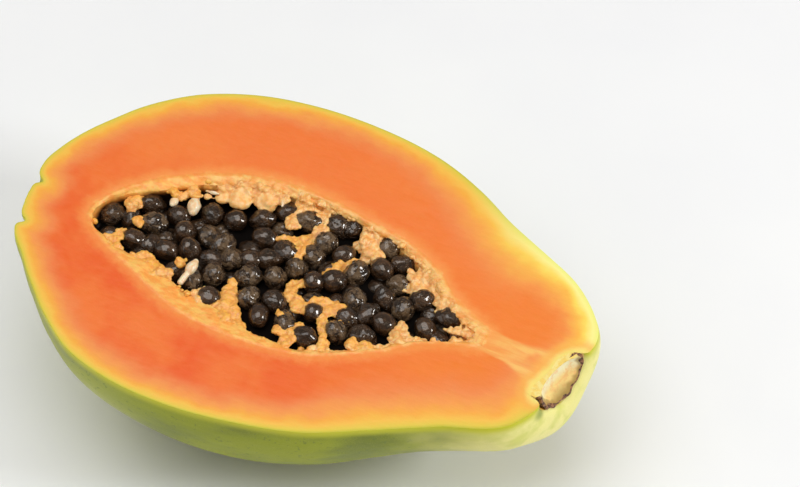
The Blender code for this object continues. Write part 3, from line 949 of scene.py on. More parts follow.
@dataclass(frozen=True)
class CutFleshFinish:
    """Wet cut flesh that turns yellow at the skin, and the pale torn lining of the cavity."""

    deep: str = "ee601c"
    light: str = "f47b30"
    ripe: str = "f48329"
    far_side: str = "f58339"
    streak: str = "fac068"
    round_lining: str = "faa04e"
    round_scar: str = "f9b450"
    at_scar: str = "fae27a"
    lining_torn: str = "fdc672"
    lining_shade: str = "f6a248"
    # Painted shade in the grooves between the lining's crumbs
    lining_groove_shade: str = "ec9650"
    lining_smooth: tuple[str, str] = ("fda449", "ffc263")
    # Painted shade and painted shadow on the cavity wall below the lip
    painted_wall_shade: str = "c87a2a"
    painted_wall_shadow: str = "1c0f08"
    rim_width: float = 12.0
    rim_end: tuple[float, float] = (5.0, 11.0)
    rim_wobble: float = 5.5
    scar_wobble: float = 3.0
    lining_wobble: float = 3.6
    # How much deeper the painted wall shade starts where the lining is torn, in millimetres
    torn_depth: float = 2.4
    roughness: tuple[float, float] = (0.32, 0.48)
    rim_colours: tuple = (
        (0.0, "c4be32"),
        (0.04, "e4ca48"),
        (0.12, "f6c24b"),
        (0.22, "f8ae40"),
        (0.36, "f69d49"),
        (0.55, "f28d4a"),
        (0.8, "ef8046"),
    )
    stalk_rim_colours: tuple = (
        (0.0, "f3f080"),
        (0.09, "fdf494"),
        (0.2, "fedc5e"),
        (0.34, "fcbc4b"),
        (0.56, "f89f48"),
        (0.85, "f28a44"),
    )

    def flesh(self, recipe: Recipe) -> bpy.types.NodeSocket:
        """Mixes the clouds of the ripe flesh.

        Args:
            recipe: The material in the making.

        Returns:
            The colour.
        """
        flesh = recipe.tint(self.deep, self.light, recipe.noise(16.0, detail=3.0), 0.35, 0.68)
        flesh = recipe.tint(flesh, self.ripe, recipe.axis("X"), -0.01, 0.075)
        flesh = recipe.tint(flesh, self.far_side, recipe.axis("Y"), 0.0, 0.028, 0.75)
        mottle = recipe.noise(1.6, detail=3.0, roughness=0.6, stretch=0.5)
        return recipe.tint(flesh, self.light, mottle, 0.45, 0.8, 0.2)

    def rim(
        self, recipe: Recipe, flesh: bpy.types.NodeSocket, wobble: bpy.types.NodeSocket
    ) -> bpy.types.NodeSocket:
        """Turns the flesh yellow and then green towards the skin, in a band that is wider near the stalk.

        Args:
            recipe: The material in the making.
            flesh: The colour inside the band.
            wobble: The noise that bends the band.

        Returns:
            The colour.
        """
        along = recipe.axis("X")
        far_side = recipe.span(recipe.axis("Y"), -0.01, 0.01)
        widest = recipe.span(along, 0.005, 0.045, 0.0, 0.5)
        widest = recipe.times(widest, recipe.span(along, 0.05, 0.07, 1.0, 0.25))
        scale = recipe.minus(1.0, recipe.times(widest, far_side))
        near_stalk = recipe.times(recipe.span(along, 0.0, 0.035, 0.0, 0.42), recipe.minus(1.0, far_side))
        scale = recipe.minus(scale, near_stalk)
        from_rim = recipe.attribute("from_rim")
        edge = recipe.times(from_rim, scale)
        bent = recipe.times(recipe.plus(from_rim, recipe.swing(wobble, self.rim_wobble)), scale)
        shown = recipe.mix(recipe.span(edge, 0.3, 3.2), edge, bent)
        share = recipe.math("DIVIDE", shown, self.rim_width)
        at_stalk = recipe.times(recipe.span(along, 0.03, 0.066), far_side)
        band = recipe.ramp(share, *self.rim_colours)
        band = recipe.mix(at_stalk, band, recipe.ramp(share, *self.stalk_rim_colours))
        return recipe.mix(recipe.span(shown, *self.rim_end), band, flesh)

    def lining(self, recipe: Recipe) -> bpy.types.NodeSocket:
        """Mixes the lining, smooth or torn, and paints shade on the wall where it goes down under the seeds.

        Args:
            recipe: The material in the making.

        Returns:
            The colour.
        """
        torn = recipe.attribute("torn")
        lumps = recipe.noise(1.7, detail=4.0, roughness=0.55, stretch=0.55)
        rough = recipe.tint(self.lining_shade, self.lining_torn, lumps, 0.36, 0.62)
        # Painted shade: the grooves between the chipped crumbs are darker
        rough = recipe.tint(rough, self.lining_groove_shade, recipe.attribute("groove"), 0.1, -0.7, 0.55)
        lining = recipe.mix(torn, recipe.tint(*self.lining_smooth, lumps, 0.35, 0.62), rough)
        # Painted shade: the wall turns brown and then near black the further it goes down below the cut face
        below = recipe.minus(TIP[2] * MM, recipe.axis("Z"))
        below = recipe.minus(below, recipe.times(torn, self.torn_depth * MM))
        lining = recipe.tint(lining, self.painted_wall_shade, below, 0.001, 0.0026)
        return recipe.tint(lining, self.painted_wall_shadow, below, 0.0018, 0.0036)

    def colour(self, recipe: Recipe) -> bpy.types.NodeSocket:
        """Mixes the colour of flesh, rim, streak and lining.

        Args:
            recipe: The material in the making.

        Returns:
            The colour.
        """
        wobble = recipe.noise(7.0, detail=3.0)
        colour = self.rim(recipe, self.flesh(recipe), wobble)
        fibres = recipe.noise(1.4, detail=3.0, roughness=0.6, stretch=0.12)
        streak = recipe.times(recipe.attribute("streak"), recipe.span(fibres, 0.3, 0.62, 0.5, 1.0))
        colour = recipe.mix(streak, colour, self.streak)
        ragged = recipe.swing(recipe.noise(2.2, detail=4.0, roughness=0.6), self.lining_wobble)
        from_lining = recipe.plus(recipe.attribute("from_lining"), ragged)
        colour = recipe.tint(colour, self.round_lining, from_lining, 4.4, 0.4, 0.7)
        from_scar = recipe.plus(recipe.attribute("from_scar"), recipe.swing(wobble, self.scar_wobble))
        colour = recipe.tint(colour, self.round_scar, from_scar, 5.0, 1.8, 0.75)
        colour = recipe.tint(colour, self.at_scar, from_scar, 2.4, 0.2, 0.9)
        return recipe.tint(colour, self.lining(recipe), from_lining, 1.0, -0.8)

    def make(self) -> bpy.types.Material:
        """Makes the material."""
        recipe = Recipe("papaya_cut_flesh")
        inside = recipe.span(recipe.attribute("from_lining"), 0.8, -0.8)
        crumb = recipe.times(recipe.noise(1.5, detail=5.0, roughness=0.6, stretch=0.6), inside)
        normal = recipe.bump(recipe.noise(0.5, detail=3.0, roughness=0.6), 0.02)
        normal = recipe.bump(recipe.noise(3.0, stretch=0.4), 0.12, normal)
        recipe.surface(
            base_color=self.colour(recipe),
            roughness=recipe.span(recipe.noise(2.0, detail=3.0), 0.3, 0.7, *self.roughness),
            normal=recipe.bump(crumb, 0.4, normal),
            coat_weight=0.12,
            coat_roughness=0.3,
            subsurface_weight=0.18,
            subsurface_radius=(1.0, 0.35, 0.12),
            subsurface_scale=0.002,
        )
        return recipe.material


@dataclass(frozen=True)
class SkinFinish:
    """Thin waxy skin, green with darker flecks, and yellow near the stalk and the rim."""

    green: str = "9fa81a"
    dark: str = "78840e"
    dull: str = "80850c"
    # Painted light: the pale colour low on the skin at the blossom end, standing in for its sheen
    blossom: str = "dade92"
    fleck: str = "5f7526"
    speck: str = "cfcd5a"
    yellow: str = "f6ee96"
    vein: str = "d0d45a"
    rim: str = "d0cf2c"
    # Painted shadow: a darker green spot on the skin below the near end of the stalk scar
    painted_shadow_spot: str = "8d9a3a"
    roughness: tuple[float, float] = (0.37, 0.5)

    def make(self) -> bpy.types.Material:
        """Makes the material."""
        recipe = Recipe("papaya_skin")
        along, up = recipe.axis("X"), recipe.axis("Z")
        clouds = recipe.noise(14.0, detail=3.0, stretch=0.5)
        skin = recipe.tint(self.dark, self.green, clouds, 0.35, 0.65)
        skin = recipe.tint(skin, self.dull, up, 0.042, 0.012, 0.6)
        # Painted light: the skin is paled low down at the blossom end
        blossom = recipe.span(along, -0.01, -0.045, 0.0, 0.85)
        blossom = recipe.times(blossom, recipe.span(up, 0.049, 0.03, 0.3, 1.0))
        skin = recipe.mix(blossom, skin, self.blossom)
        skin = recipe.tint(skin, self.fleck, recipe.noise(1.3), 0.62, 0.7, 0.5)
        pale = recipe.tint(self.yellow, self.vein, recipe.noise(5.0, stretch=0.3), 0.45, 0.75, 0.6)
        stalk = recipe.plus(along, recipe.times(recipe.noise(10.0), 0.02))
        skin = recipe.tint(skin, pale, stalk, 0.05, 0.083)
        skin = recipe.tint(skin, self.speck, recipe.noise(0.35), 0.5, 0.75, 0.2)
        skin = recipe.tint(skin, self.rim, recipe.attribute("from_rim"), -3.4, -0.3)
        # Painted shadow: the skin darkens round a spot below the near end of the stalk scar
        skin = recipe.tint(skin, self.painted_shadow_spot, recipe.attribute("from_painted_shadow_spot"), 3.4, 0.8, 0.8)
        recipe.surface(
            base_color=skin,
            roughness=recipe.span(clouds, 0.3, 0.7, *self.roughness),
            normal=recipe.bump(recipe.noise(0.9, detail=3.0), 0.05, recipe.bump(recipe.noise(7.0), 0.3)),
            specular_ior_level=0.2,
            subsurface_weight=0.05,
            subsurface_radius=(1.0, 0.8, 0.2),
            subsurface_scale=0.001,
        )
        return recipe.material


@dataclass(frozen=True)
class PulpFinish:
    """Torn pulp, between pale peach and orange-yellow, with painted shade in its grooves."""

    pale: str = "fdce8a"
    rich: str = "fdb84c"
    shade: str = "f8a446"
    # Painted shade in the grooves between the pulp's crumbs
    groove: str = "de9044"

    def make(self) -> bpy.types.Material:
        """Makes the material."""
        recipe = Recipe("papaya_pulp")
        body = recipe.mix(recipe.attribute("tone"), self.pale, self.rich)
        body = recipe.tint(body, self.shade, recipe.noise(1.2, detail=3.0, roughness=0.6), 0.6, 0.38, 0.6)
        # Painted shade: the grooves between the chipped crumbs are darker
        body = recipe.tint(body, self.groove, recipe.attribute("groove"), 0.0, -0.8, 0.75)
        recipe.surface(
            base_color=body,
            roughness=0.42,
            normal=recipe.bump(recipe.noise(1.3, detail=5.0, roughness=0.6), 0.2),
            coat_weight=0.2,
            coat_roughness=0.25,
            subsurface_weight=0.25,
            subsurface_radius=(1.0, 0.45, 0.15),
            subsurface_scale=0.0015,
        )
        return recipe.material


@dataclass(frozen=True)
class SeedFinish:
    """Black-brown seeds in wet, wrinkled coats, each in its own tone; deep ones are dull and darkened by
    painted shade.
    """

    black: str = "1e120a"
    brown: str = "48301d"
    jelly: str = "6a543c"
    # Painted shade: the near black that seeds deep in the heap turn to
    hidden: str = "070403"
    shine: str = "f2dcc0"
    sheen: str = "8a6242"

    def make(self) -> bpy.types.Material:
        """Makes the material."""
        recipe = Recipe("papaya_seed_coat")
        tone, under = recipe.attribute("tone"), recipe.attribute("under")
        veins = recipe.noise(2.6, detail=3.0, roughness=0.6, bend=1.0)
        coat = recipe.tint(self.black, self.brown, veins, 0.34, 0.7)
        film = recipe.times(recipe.span(tone, 0.75, 1.0), recipe.span(veins, 0.4, 0.6))
        coat = recipe.mix(film, coat, self.jelly)
        fold = recipe.math("ABSOLUTE", recipe.minus(recipe.noise(1.5, detail=1.0, bend=1.2), 0.5))
        ripple = recipe.plus(recipe.span(fold, 0.0, 0.1), recipe.noise(0.6))
        recipe.surface(
            # Painted shade: the deeper a seed lies under the heap's top, the darker it is
            base_color=recipe.tint(coat, self.hidden, under, 2.2, 5.6, 0.85),
            roughness=recipe.span(under, 2.5, 5.5, 0.24, 0.7),
            normal=recipe.bump(recipe.times(ripple, recipe.span(tone, 0.0, 0.8, 0.3, 1.0)), 0.17),
            coat_weight=recipe.span(under, 2.8, 5.8, 1.0, 0.1),
            coat_roughness=0.05,
            specular_ior_level=0.5,
            specular_tint=rgb(self.shine),
            sheen_weight=0.1,
            sheen_roughness=0.4,
            sheen_tint=rgb(self.sheen),
        )
        return recipe.material


@dataclass(frozen=True)
class SeedShadowBedFinish:
    """The bed under the seeds: its near black is a painted shadow, which only shows between them."""

    # Painted shadow: near black, darker than any seed
    dark: str = "0a0604"

    def make(self) -> bpy.types.Material:
        """Makes the material."""
        recipe = Recipe("papaya_seed_bed_painted_shadow")
        recipe.surface(base_color=rgb(self.dark), roughness=0.9, specular_ior_level=0.1)
        return recipe.material


@dataclass(frozen=True)
class OvuleFinish:
    """Cream, smooth and moist."""

    cream: str = "f6e3c0"
    warm: str = "eec591"

    def make(self) -> bpy.types.Material:
        """Makes the material."""
        recipe = Recipe("papaya_ovule")
        recipe.surface(
            base_color=recipe.tint(self.cream, self.warm, recipe.noise(1.2, detail=3.0), 0.35, 0.65),
            roughness=0.35,
            normal=recipe.bump(recipe.noise(0.6), 0.08),
            coat_weight=0.4,
            coat_roughness=0.15,
            subsurface_weight=0.3,
            subsurface_radius=(1.0, 0.6, 0.3),
            subsurface_scale=0.001,
        )
        return recipe.material


@dataclass(frozen=True)
class ScarFinish:
    """The dry scar of the stalk: a pale bowl with a dark corky crust at its edge, with painted light near the
    cut face and painted shade towards the crust.
    """

    # Painted light: the bright cream that the bowl takes near the cut face
    cream: str = "fff5c6"
    bowl: str = "ffdf8a"
    peach: str = "fbc678"
    # Painted shade: the olive that the bowl takes deep down and beside the crust
    painted_olive_shade: str = "a5863c"
    cut: tuple[str, str] = ("fbe690", "f9d66c")
    crust: str = "45230f"
    crust_light: str = "a87550"

    def make(self) -> bpy.types.Material:
        """Makes the material."""
        recipe = Recipe("papaya_stalk_scar")
        edge = recipe.attribute("edge")
        wood = recipe.noise(1.8, detail=4.0, roughness=0.6)
        bowl = recipe.tint(self.peach, self.bowl, wood, 0.35, 0.62)
        # Painted light: the bowl is brightened to cream near the cut face
        painted_light = recipe.times(recipe.span(edge, 4.6, 1.4), recipe.span(wood, 0.36, 0.58, 0.35, 1.0))
        bowl = recipe.mix(painted_light, bowl, self.cream)
        # Painted shade: the bowl turns olive deep down and towards the crust
        bowl = recipe.tint(bowl, self.painted_olive_shade, edge, 5.0, 8.0, 0.9)
        ragged = recipe.plus(recipe.attribute("crust"), recipe.swing(wood, 0.6))
        bowl = recipe.tint(bowl, self.painted_olive_shade, ragged, 0.2, 0.65, 0.75)
        inwards = Vector((1.0, -STALK_LEAN, 0.0)).normalized()
        start = inwards.dot(Vector(SCAR_MIDDLE) + Vector(TIP)) * MM
        along = recipe.times(recipe.axis("X"), inwards.x)
        along = recipe.plus(along, recipe.times(recipe.axis("Y"), inwards.y))
        behind_rim = recipe.span(recipe.minus(start, along), 0.0002, 0.0012)
        level = recipe.times(recipe.span(edge, 0.4, 0.06), behind_rim)
        bowl = recipe.mix(level, bowl, recipe.tint(*self.cut, wood, 0.4, 0.6))
        cork = recipe.tint(self.crust, self.crust_light, recipe.noise(0.7, detail=3.0), 0.4, 0.65)
        recipe.surface(
            base_color=recipe.tint(bowl, cork, ragged, 0.72, 0.84),
            roughness=0.6,
            normal=recipe.bump(recipe.noise(0.9, detail=4.0, roughness=0.7), 0.35),
        )
        return recipe.material


@dataclass
class FruitHalf:
    """The body of the half fruit: skin, cut face and the wall of the seed cavity, in one closed mesh."""

    sections: int = 430
    around: int = 57
    recess_rows: int = 4
    face_rings: int = 15
    face_crowding: float = 1.5
    band_rings: int = 9
    band_drop: float = 1.1
    band_roundness: float = 1.6
    wall_columns: int = 37
    wall_crowding: float = 1.5
    dent: float = 0.25
    dent_grain: float = 22.0
    ripple: float = 0.7
    ripple_grain: float = 4.6
    chip_heights: tuple = (0.3, 0.12)
    chip_grains: tuple = (2.6, 1.2)
    # The middle of the painted shadow spot on the skin, below the near end of the stalk scar
    painted_shadow_spot: tuple = (148.1, -9.9, -3.2)
    # The pale fibres that run from the cavity to the stalk: two lines, and the fan between them by x
    streaks: tuple = (
        ((119.0, 9.6), (128.0, 6.4), (139.2, 4.4), (146.0, 4.2)),
        ((121.0, 0.4), (127.3, 0.7), (135.9, -0.2), (144.6, -3.4)),
    )
    fan_middle: tuple = ((120, 5.0), (146, 0.4))
    fan_half_width: tuple = ((120, 4.0), (130, 3.0), (146, 4.4))
    fan_from: float = 119.0
    streak_gap: tuple = (142.6, 2.6)
    # The lining is torn beyond this border, given as y by x
    torn_border: tuple = ((20, 4), (60, 0), (90, -22), (125, -10))

    @property
    def wall_start(self) -> int:
        """The number of the wall's first point."""
        return self.sections * self.around

    @property
    def face_start(self) -> int:
        """The number of the cut face's first point."""
        return self.wall_start + self.sections * self.wall_columns

    def skin_points(self, stations: np.ndarray) -> np.ndarray:
        """Lofts the skin, with its five soft ribs.

        Args:
            stations: The sections along the fruit.

        Returns:
            Points by section and angle, in millimetres.
        """
        x, far, near, deep = stations.T[:, :, None]
        angle = np.linspace(0.0, math.pi, self.around)[None]
        from_end = np.minimum(x - RIBS_FROM, RIBS_TO - x)
        height = RIB_ENDS + (RIB_MIDDLE - RIB_ENDS) * smooth_step(0.0, RIB_REACH, from_end)
        swell = 1.0 + height * np.sin(RIB_COUNT * angle)
        across = (far + near) / 2 + (far - near) / 2 * swell * np.cos(angle)
        points = np.stack([x + 0 * across, across, -deep * swell * np.sin(angle)], axis=2)
        return askew(points.reshape(-1, 3)).reshape(points.shape)

    def wall_points(self, stations: np.ndarray) -> np.ndarray:
        """Lofts the cavity's wall, whose columns crowd near the lip.

        Args:
            stations: The sections along the cavity.

        Returns:
            Points by section and angle, in millimetres.
        """
        x, far, near, deep = stations.T[:, :, None]
        even = np.linspace(-1.0, 1.0, self.wall_columns)
        crowded = np.sign(even) * (1.0 - (1.0 - np.abs(even)) ** self.wall_crowding)
        angle = (math.pi / 2 * (1.0 + crowded))[None]
        drop = self.band_drop * np.minimum(1.0, deep / 6.0)
        across = (far + near) / 2 + (far - near) / 2 * np.cos(angle)
        down = drop + (deep - drop) * np.sin(angle)
        return np.stack([x + 0 * across, across, -down], axis=2)

    def face_loops(self, skin: np.ndarray, wall: np.ndarray, cavity: np.ndarray) -> list[np.ndarray]:
        """Draws the rings over the cut face, from the skin's rim to the cavity's lip.

        Args:
            skin: The skin's points.
            wall: The wall's points.
            cavity: The sections along the cavity.

        Returns:
            The rings between rim and lip, each closed.
        """
        rim = np.concatenate([skin[:, 0], skin[::-1, -1]])
        lip = np.concatenate([wall[:, 0], wall[::-1, -1]])
        edge = np.array(LINING_EDGE)
        share = (cavity[:, 0] - cavity[0, 0]) / (cavity[-1, 0] - cavity[0, 0])
        along = edge[0, 0] + share * (edge[-1, 0] - edge[0, 0])
        across = [np.interp(along, edge[:, 0], edge[:, side]) for side in (1, 2)]
        far, near = (np.stack([along, side, 0 * along], axis=1) for side in across)
        band = np.concatenate([far, near[::-1]])
        rings = []
        for k in range(1, self.face_rings):
            share = (k / self.face_rings) ** self.face_crowding
            rings.append(rim * (1 - share) + band * share)
        for k in range(self.band_rings):
            share = k / self.band_rings
            ring = band * (1 - share) + lip * share
            ring[:, 2] = lip[:, 2] * share**self.band_roundness
            rings.append(ring)
        return rings

    def face_faces(self, ring_count: int) -> list:
        """Lists the faces of the cut face, ring by ring.

        Args:
            ring_count: How many rings lie between the rim and the lip.

        Returns:
            The corners of each face.
        """
        n, a, w = self.sections, self.around, self.wall_columns
        rim = [i * a for i in range(n)] + [i * a + a - 1 for i in reversed(range(n))]
        lip = [self.wall_start + i * w for i in range(n)]
        lip += [self.wall_start + i * w + w - 1 for i in reversed(range(n))]
        firsts = range(self.face_start, self.face_start + ring_count * 2 * n, 2 * n)
        loops = [rim, *(range(first, first + 2 * n) for first in firsts), lip]
        made = []
        for outer, inner in zip(loops[:-1], loops[1:]):
            for i in range(2 * n):
                j = (i + 1) % (2 * n)
                made.append((outer[i], outer[j], inner[j], inner[i]))
        return made

    def from_rim(self, points: np.ndarray, outside: np.ndarray) -> np.ndarray:
        """Measures how far points lie from the skin's rim in plan, and how far the skin's own lie below it.

        Args:
            points: All the points of the body.
            outside: The skin's points, up to the recess of the stalk scar.

        Returns:
            The distances, negative on the skin.
        """
        rim = np.concatenate([outside[:, 0], outside[::-1, -1]])
        away = distance_to(points[:, :2], rim[::2, :2])
        away[: self.wall_start] = points[: self.wall_start, 2]
        return away

    def from_scar(self, points: np.ndarray, skin: np.ndarray, recess: int) -> np.ndarray:
        """Measures how far points lie from the recess of the stalk scar in plan.

        Args:
            points: All the points of the body.
            skin: The skin's points.
            recess: The section where the recess starts.

        Returns:
            The distances.
        """
        hollow = skin[recess::4, 0]
        rim = np.concatenate([hollow, skin[::-4, -1][: len(hollow)]])
        return distance_to(points[:, :2], rim[:, :2])

    def from_lining(self, points: np.ndarray, edge: np.ndarray) -> np.ndarray:
        """Measures how far points lie from the lining's outer edge in plan.

        Args:
            points: All the points of the body.
            edge: The ring along that edge.

        Returns:
            The distances, negative inside the edge and large on the skin.
        """
        closed_edge = np.concatenate([edge, edge[:1]])[::3, :2]
        away = distance_to(points[:, :2], closed_edge)
        away[self.wall_start : self.face_start] *= -1
        away[self.face_start + (self.face_rings - 1) * 2 * self.sections :] *= -1
        away[: self.wall_start] = FAR_AWAY
        return away

    def torn(self, points: np.ndarray) -> np.ndarray:
        """Says where the lining is torn: on its far side, and all over towards the stalk.

        Args:
            points: All the points of the body.

        Returns:
            A share from 0 to 1 for each point.
        """
        x, y = points[:, 0], points[:, 1]
        border = np.interp(x, *zip(*self.torn_border))
        return smooth_step(-2.0, 6.0, y - border) * smooth_step(36.0, 50.0, x)

    def streak(self, points: np.ndarray) -> np.ndarray:
        """Says where the pale fibres run from the cavity to the stalk.

        Args:
            points: All the points of the body.

        Returns:
            A share from 0 to 1 for each point.
        """
        x, y = points[:, 0], points[:, 1]
        streak = np.zeros(len(points))
        width = 0.9 + 1.6 * smooth_step(132.0, 146.0, x)
        for line in self.streaks:
            away = distance_to(points[:, :2], np.array(line))
            streak = np.maximum(streak, 1.0 - smooth_step(0.35 * width, 1.3 * width, away))
        middle, half = (np.interp(x, *zip(*rows)) for rows in (self.fan_middle, self.fan_half_width))
        between = (1.0 - smooth_step(half - 1.0, half + 0.6, np.abs(y - middle))) * (x > self.fan_from)
        streak = np.maximum(streak, 0.45 * between)
        from_gap = np.hypot(x - self.streak_gap[0], y - self.streak_gap[1])
        return streak * (0.2 + 0.8 * smooth_step(1.4, 2.6, from_gap))

    def build(self) -> bpy.types.Object:
        """Builds the body, with the numbers that its materials read.

        Returns:
            The body.
        """
        skin_rows = evenly(through(FRUIT, CURVE_STEP), self.sections)
        wall_rows = evenly(through(CAVITY, CURVE_STEP), self.sections)
        skin, wall = self.skin_points(skin_rows), self.wall_points(wall_rows)
        rings = self.face_loops(skin, wall, wall_rows)
        points = np.concatenate([skin.reshape(-1, 3), wall.reshape(-1, 3), *rings])
        skin_grid = (0, self.sections, self.around)
        wall_grid = (self.wall_start, self.sections, self.wall_columns)
        skin_faces = grid_faces(*skin_grid) + end_faces(*skin_grid)
        other_faces = grid_faces(*wall_grid) + end_faces(*wall_grid) + self.face_faces(len(rings))
        body = object_from("fruit_half_dressed", placed(points), skin_faces + other_faces)
        recess = skin_rows[:, 0].argmax() + self.recess_rows
        kinds = [int(k >= recess * (self.around - 1)) for k in range(len(skin_faces))]
        body.data.polygons.foreach_set("material_index", kinds + [1] * len(other_faces))

        from_lining, torn = self.from_lining(points, rings[self.face_rings - 1]), self.torn(points)
        numbers = {
            "from_rim": self.from_rim(points, skin[:recess]),
            "from_lining": from_lining,
            "from_scar": self.from_scar(points, skin, recess),
            "from_painted_shadow_spot": np.linalg.norm(points - self.painted_shadow_spot, axis=1),
            "torn": torn,
            "streak": self.streak(points),
        }
        for name, values in numbers.items():
            give(body.data, name, values)
        self.roughen(body, points, smooth_step(0.2, 1.6, -from_lining), torn)
        return body

    def roughen(
        self, body: bpy.types.Object, points: np.ndarray, lining: np.ndarray, torn: np.ndarray
    ) -> None:
        """Dents the skin and roughens the lining, then levels the cut face and the spot that it rests on.

        Args:
            body: The body.
            points: All its points, in millimetres.
            lining: The share of the lining at each point.
            torn: The share of torn lining at each point.
        """
        below = smooth_step(2.0, 14.0, -points[:, 2])
        below[self.wall_start :] = 0.0
        away_from_rest = smooth_step(4.0, 12.0, np.hypot(points[:, 0] + TIP[0], points[:, 1] + TIP[1]))
        above_rest = smooth_step(60, 40, -points[:, 2])
        rumple(body, Relief.SOFT, self.dent, self.dent_grain, below * np.maximum(away_from_rest, above_rest))
        rumple(body, Relief.SOFT, self.ripple, self.ripple_grain, lining)
        chip(body, self.chip_heights, self.chip_grains, lining * (0.3 + 0.7 * torn))
        level = corners_of(body.data)
        level[:, 2] = np.clip(level[:, 2], 0.0, TIP[2] * MM)
        move_to(body.data, level)

    def dress(self, body: bpy.types.Object) -> None:
        """Gives the body its skin and flesh.

        Args:
            body: The body.
        """
        deselect()
        bpy.context.view_layer.objects.active = body
        body.select_set(True)
        bpy.ops.object.shade_smooth_by_angle(angle=SHARP_FROM)
        finish_piece(body, "fruit_half", "flesh", SkinFinish().make(), CutFleshFinish().make())


@dataclass
class Pulp:
    """The torn pulp: strands over the seeds, nodules on the wall and crumbs along the lip."""

    voxel: float = 0.32
    melt: int = 5
    flat: float = 0.5
    thinnest: float = 0.15
    step: float = 0.7
    crumbs: int = 4
    pale_strands: tuple = (
        "far_patch",
        "far_patch_tip",
        "right_patch",
        "right_tooth",
        "near_right",
        "stalk_tongue",
    )
    lip_spots: int = 600
    torn_chance: float = 0.6
    lid_inside: tuple = (-1.0, 0.0, 1.0, 2.2, 4.0)
    lid_heights: tuple = (-1.5, -0.6, -0.25, 0.05, 0.3)
    dent: float = 0.35
    dent_grain: float = 2.2
    chip_heights: tuple = (0.24, 0.09)
    chip_grains: tuple = (2.4, 1.0)
    at_once: int = 4000
    seed: int = 5

    def strand_balls(self, rng: np.random.Generator) -> Iterator[tuple]:
        """Strews crumbs along the strands.

        Args:
            rng: The source of the draws.

        Yields:
            x, y, z, half width, tone, and 1 for a ball that stays smooth.
        """
        for name, beads in STRANDS.items():
            tone = 0.1 if name in self.pale_strands else 0.9
            for x, y, z, r in through(beads, self.step):
                for _ in range(self.crumbs):
                    turn, reach = rng.uniform(0, 2 * math.pi), 0.85 * r * math.sqrt(rng.random())
                    spot = (x + reach * math.cos(turn), y + reach * math.sin(turn))
                    height, size = z + rng.uniform(-0.5, 0.15), max(0.5, r * rng.uniform(0.3, 0.62))
                    yield *spot, height, size, tone - rng.uniform(0, 0.25), 0

    def nodule_balls(self, rng: np.random.Generator) -> Iterator[tuple]:
        """Makes each nodule of one smooth ball and crumbs at its back; rows as in strand_balls."""
        for x, y, z, r in NODULES:
            yield x, y + 0.4, z, 0.85 * r, 0.1, 1
            for _ in range(5):
                shift = rng.normal(0, 0.5, 3) * r
                spot = (x + shift[0], y + 0.8 + 0.6 * shift[1], z + 0.5 * shift[2])
                yield *spot, r * rng.uniform(0.3, 0.5), 0.2 + rng.uniform(-0.2, 0.3), 0

    def patch_balls(self, rng: np.random.Generator) -> Iterator[tuple]:
        """Fills the patches with crumbs; rows as in strand_balls."""
        for x, y, z, along, across, tone in PATCHES:
            for _ in range(int(1.6 * along * across) + 3):
                turn, reach = rng.uniform(0, 2 * math.pi), math.sqrt(rng.random())
                spot = (x + along * reach * math.cos(turn), y + across * reach * math.sin(turn))
                height, size = z + rng.uniform(-0.6, 0.2), rng.uniform(1.0, 1.8)
                yield *spot, height, size, tone + rng.uniform(-0.1, 0.2), 0

    def bit_balls(self, rng: np.random.Generator) -> Iterator[tuple]:
        """Makes the loose bits; rows as in strand_balls."""
        for x, y, z, r in BITS:
            yield x, y, z, 0.8 * r, 0.85, 0
            for _ in range(4):
                shift = rng.normal(0, 0.5, 3) * r
                yield x + shift[0], y + shift[1], z + 0.3 * shift[2], r * rng.uniform(0.35, 0.6), 0.85, 0

    def lip_balls(self, rng: np.random.Generator) -> Iterator[tuple]:
        """Strews crumbs along the lip, more of them where it is torn; rows as in strand_balls."""
        lip = evenly(through(CAVITY, CURVE_STEP), self.lip_spots)
        for side in LIP_SIDES:
            for x, y in lip[:: side.every, (0, side.column)]:
                torn = x > side.torn_from
                if rng.random() > (self.torn_chance if torn else side.chance):
                    continue
                size = rng.uniform(0.6, 1.5 if torn else 1.2)
                reach = rng.uniform(-0.6, side.reach) * side.outward
                spot = (x + rng.normal(0, 0.4), y + reach, rng.uniform(-2.4, -0.4))
                yield *spot, size, rng.uniform(0.0, 0.4) if torn else rng.uniform(0.6, 1.0), 0

    def balls(self) -> tuple[np.ndarray, np.ndarray, np.ndarray]:
        """Lists every ball that the pulp is fused from.

        Returns:
            Rows of x, y, z and half width, the tone of each from 0 for pale to 1 for orange, and whether
            it stays smooth.
        """
        rng = np.random.default_rng(self.seed)
        sources = (self.strand_balls, self.nodule_balls, self.patch_balls, self.bit_balls, self.lip_balls)
        rows = np.array([row for source in sources for row in source(rng)], float)
        rows[:, 2] = np.minimum(rows[:, 2], self.lid(rows[:, 0], rows[:, 1]) - self.flat * rows[:, 3])
        return rows[:, :4], np.clip(rows[:, 4], 0, 1), rows[:, 5] > 0

    def lid(self, x: np.ndarray, y: np.ndarray) -> np.ndarray:
        """Gives the height that pulp may reach: over the seeds a little, and not through the cut face.

        Args:
            x: Places along the fruit.
            y: Places across it.

        Returns:
            The heights over the cut face.
        """
        edge = np.array(LINING_EDGE)
        far, near = (np.interp(x, edge[:, 0], edge[:, k]) for k in (1, 2))
        inside = np.minimum.reduce([far - y, y - near, x - edge[0, 0], edge[-1, 0] - x])
        return np.interp(inside, self.lid_inside, self.lid_heights)

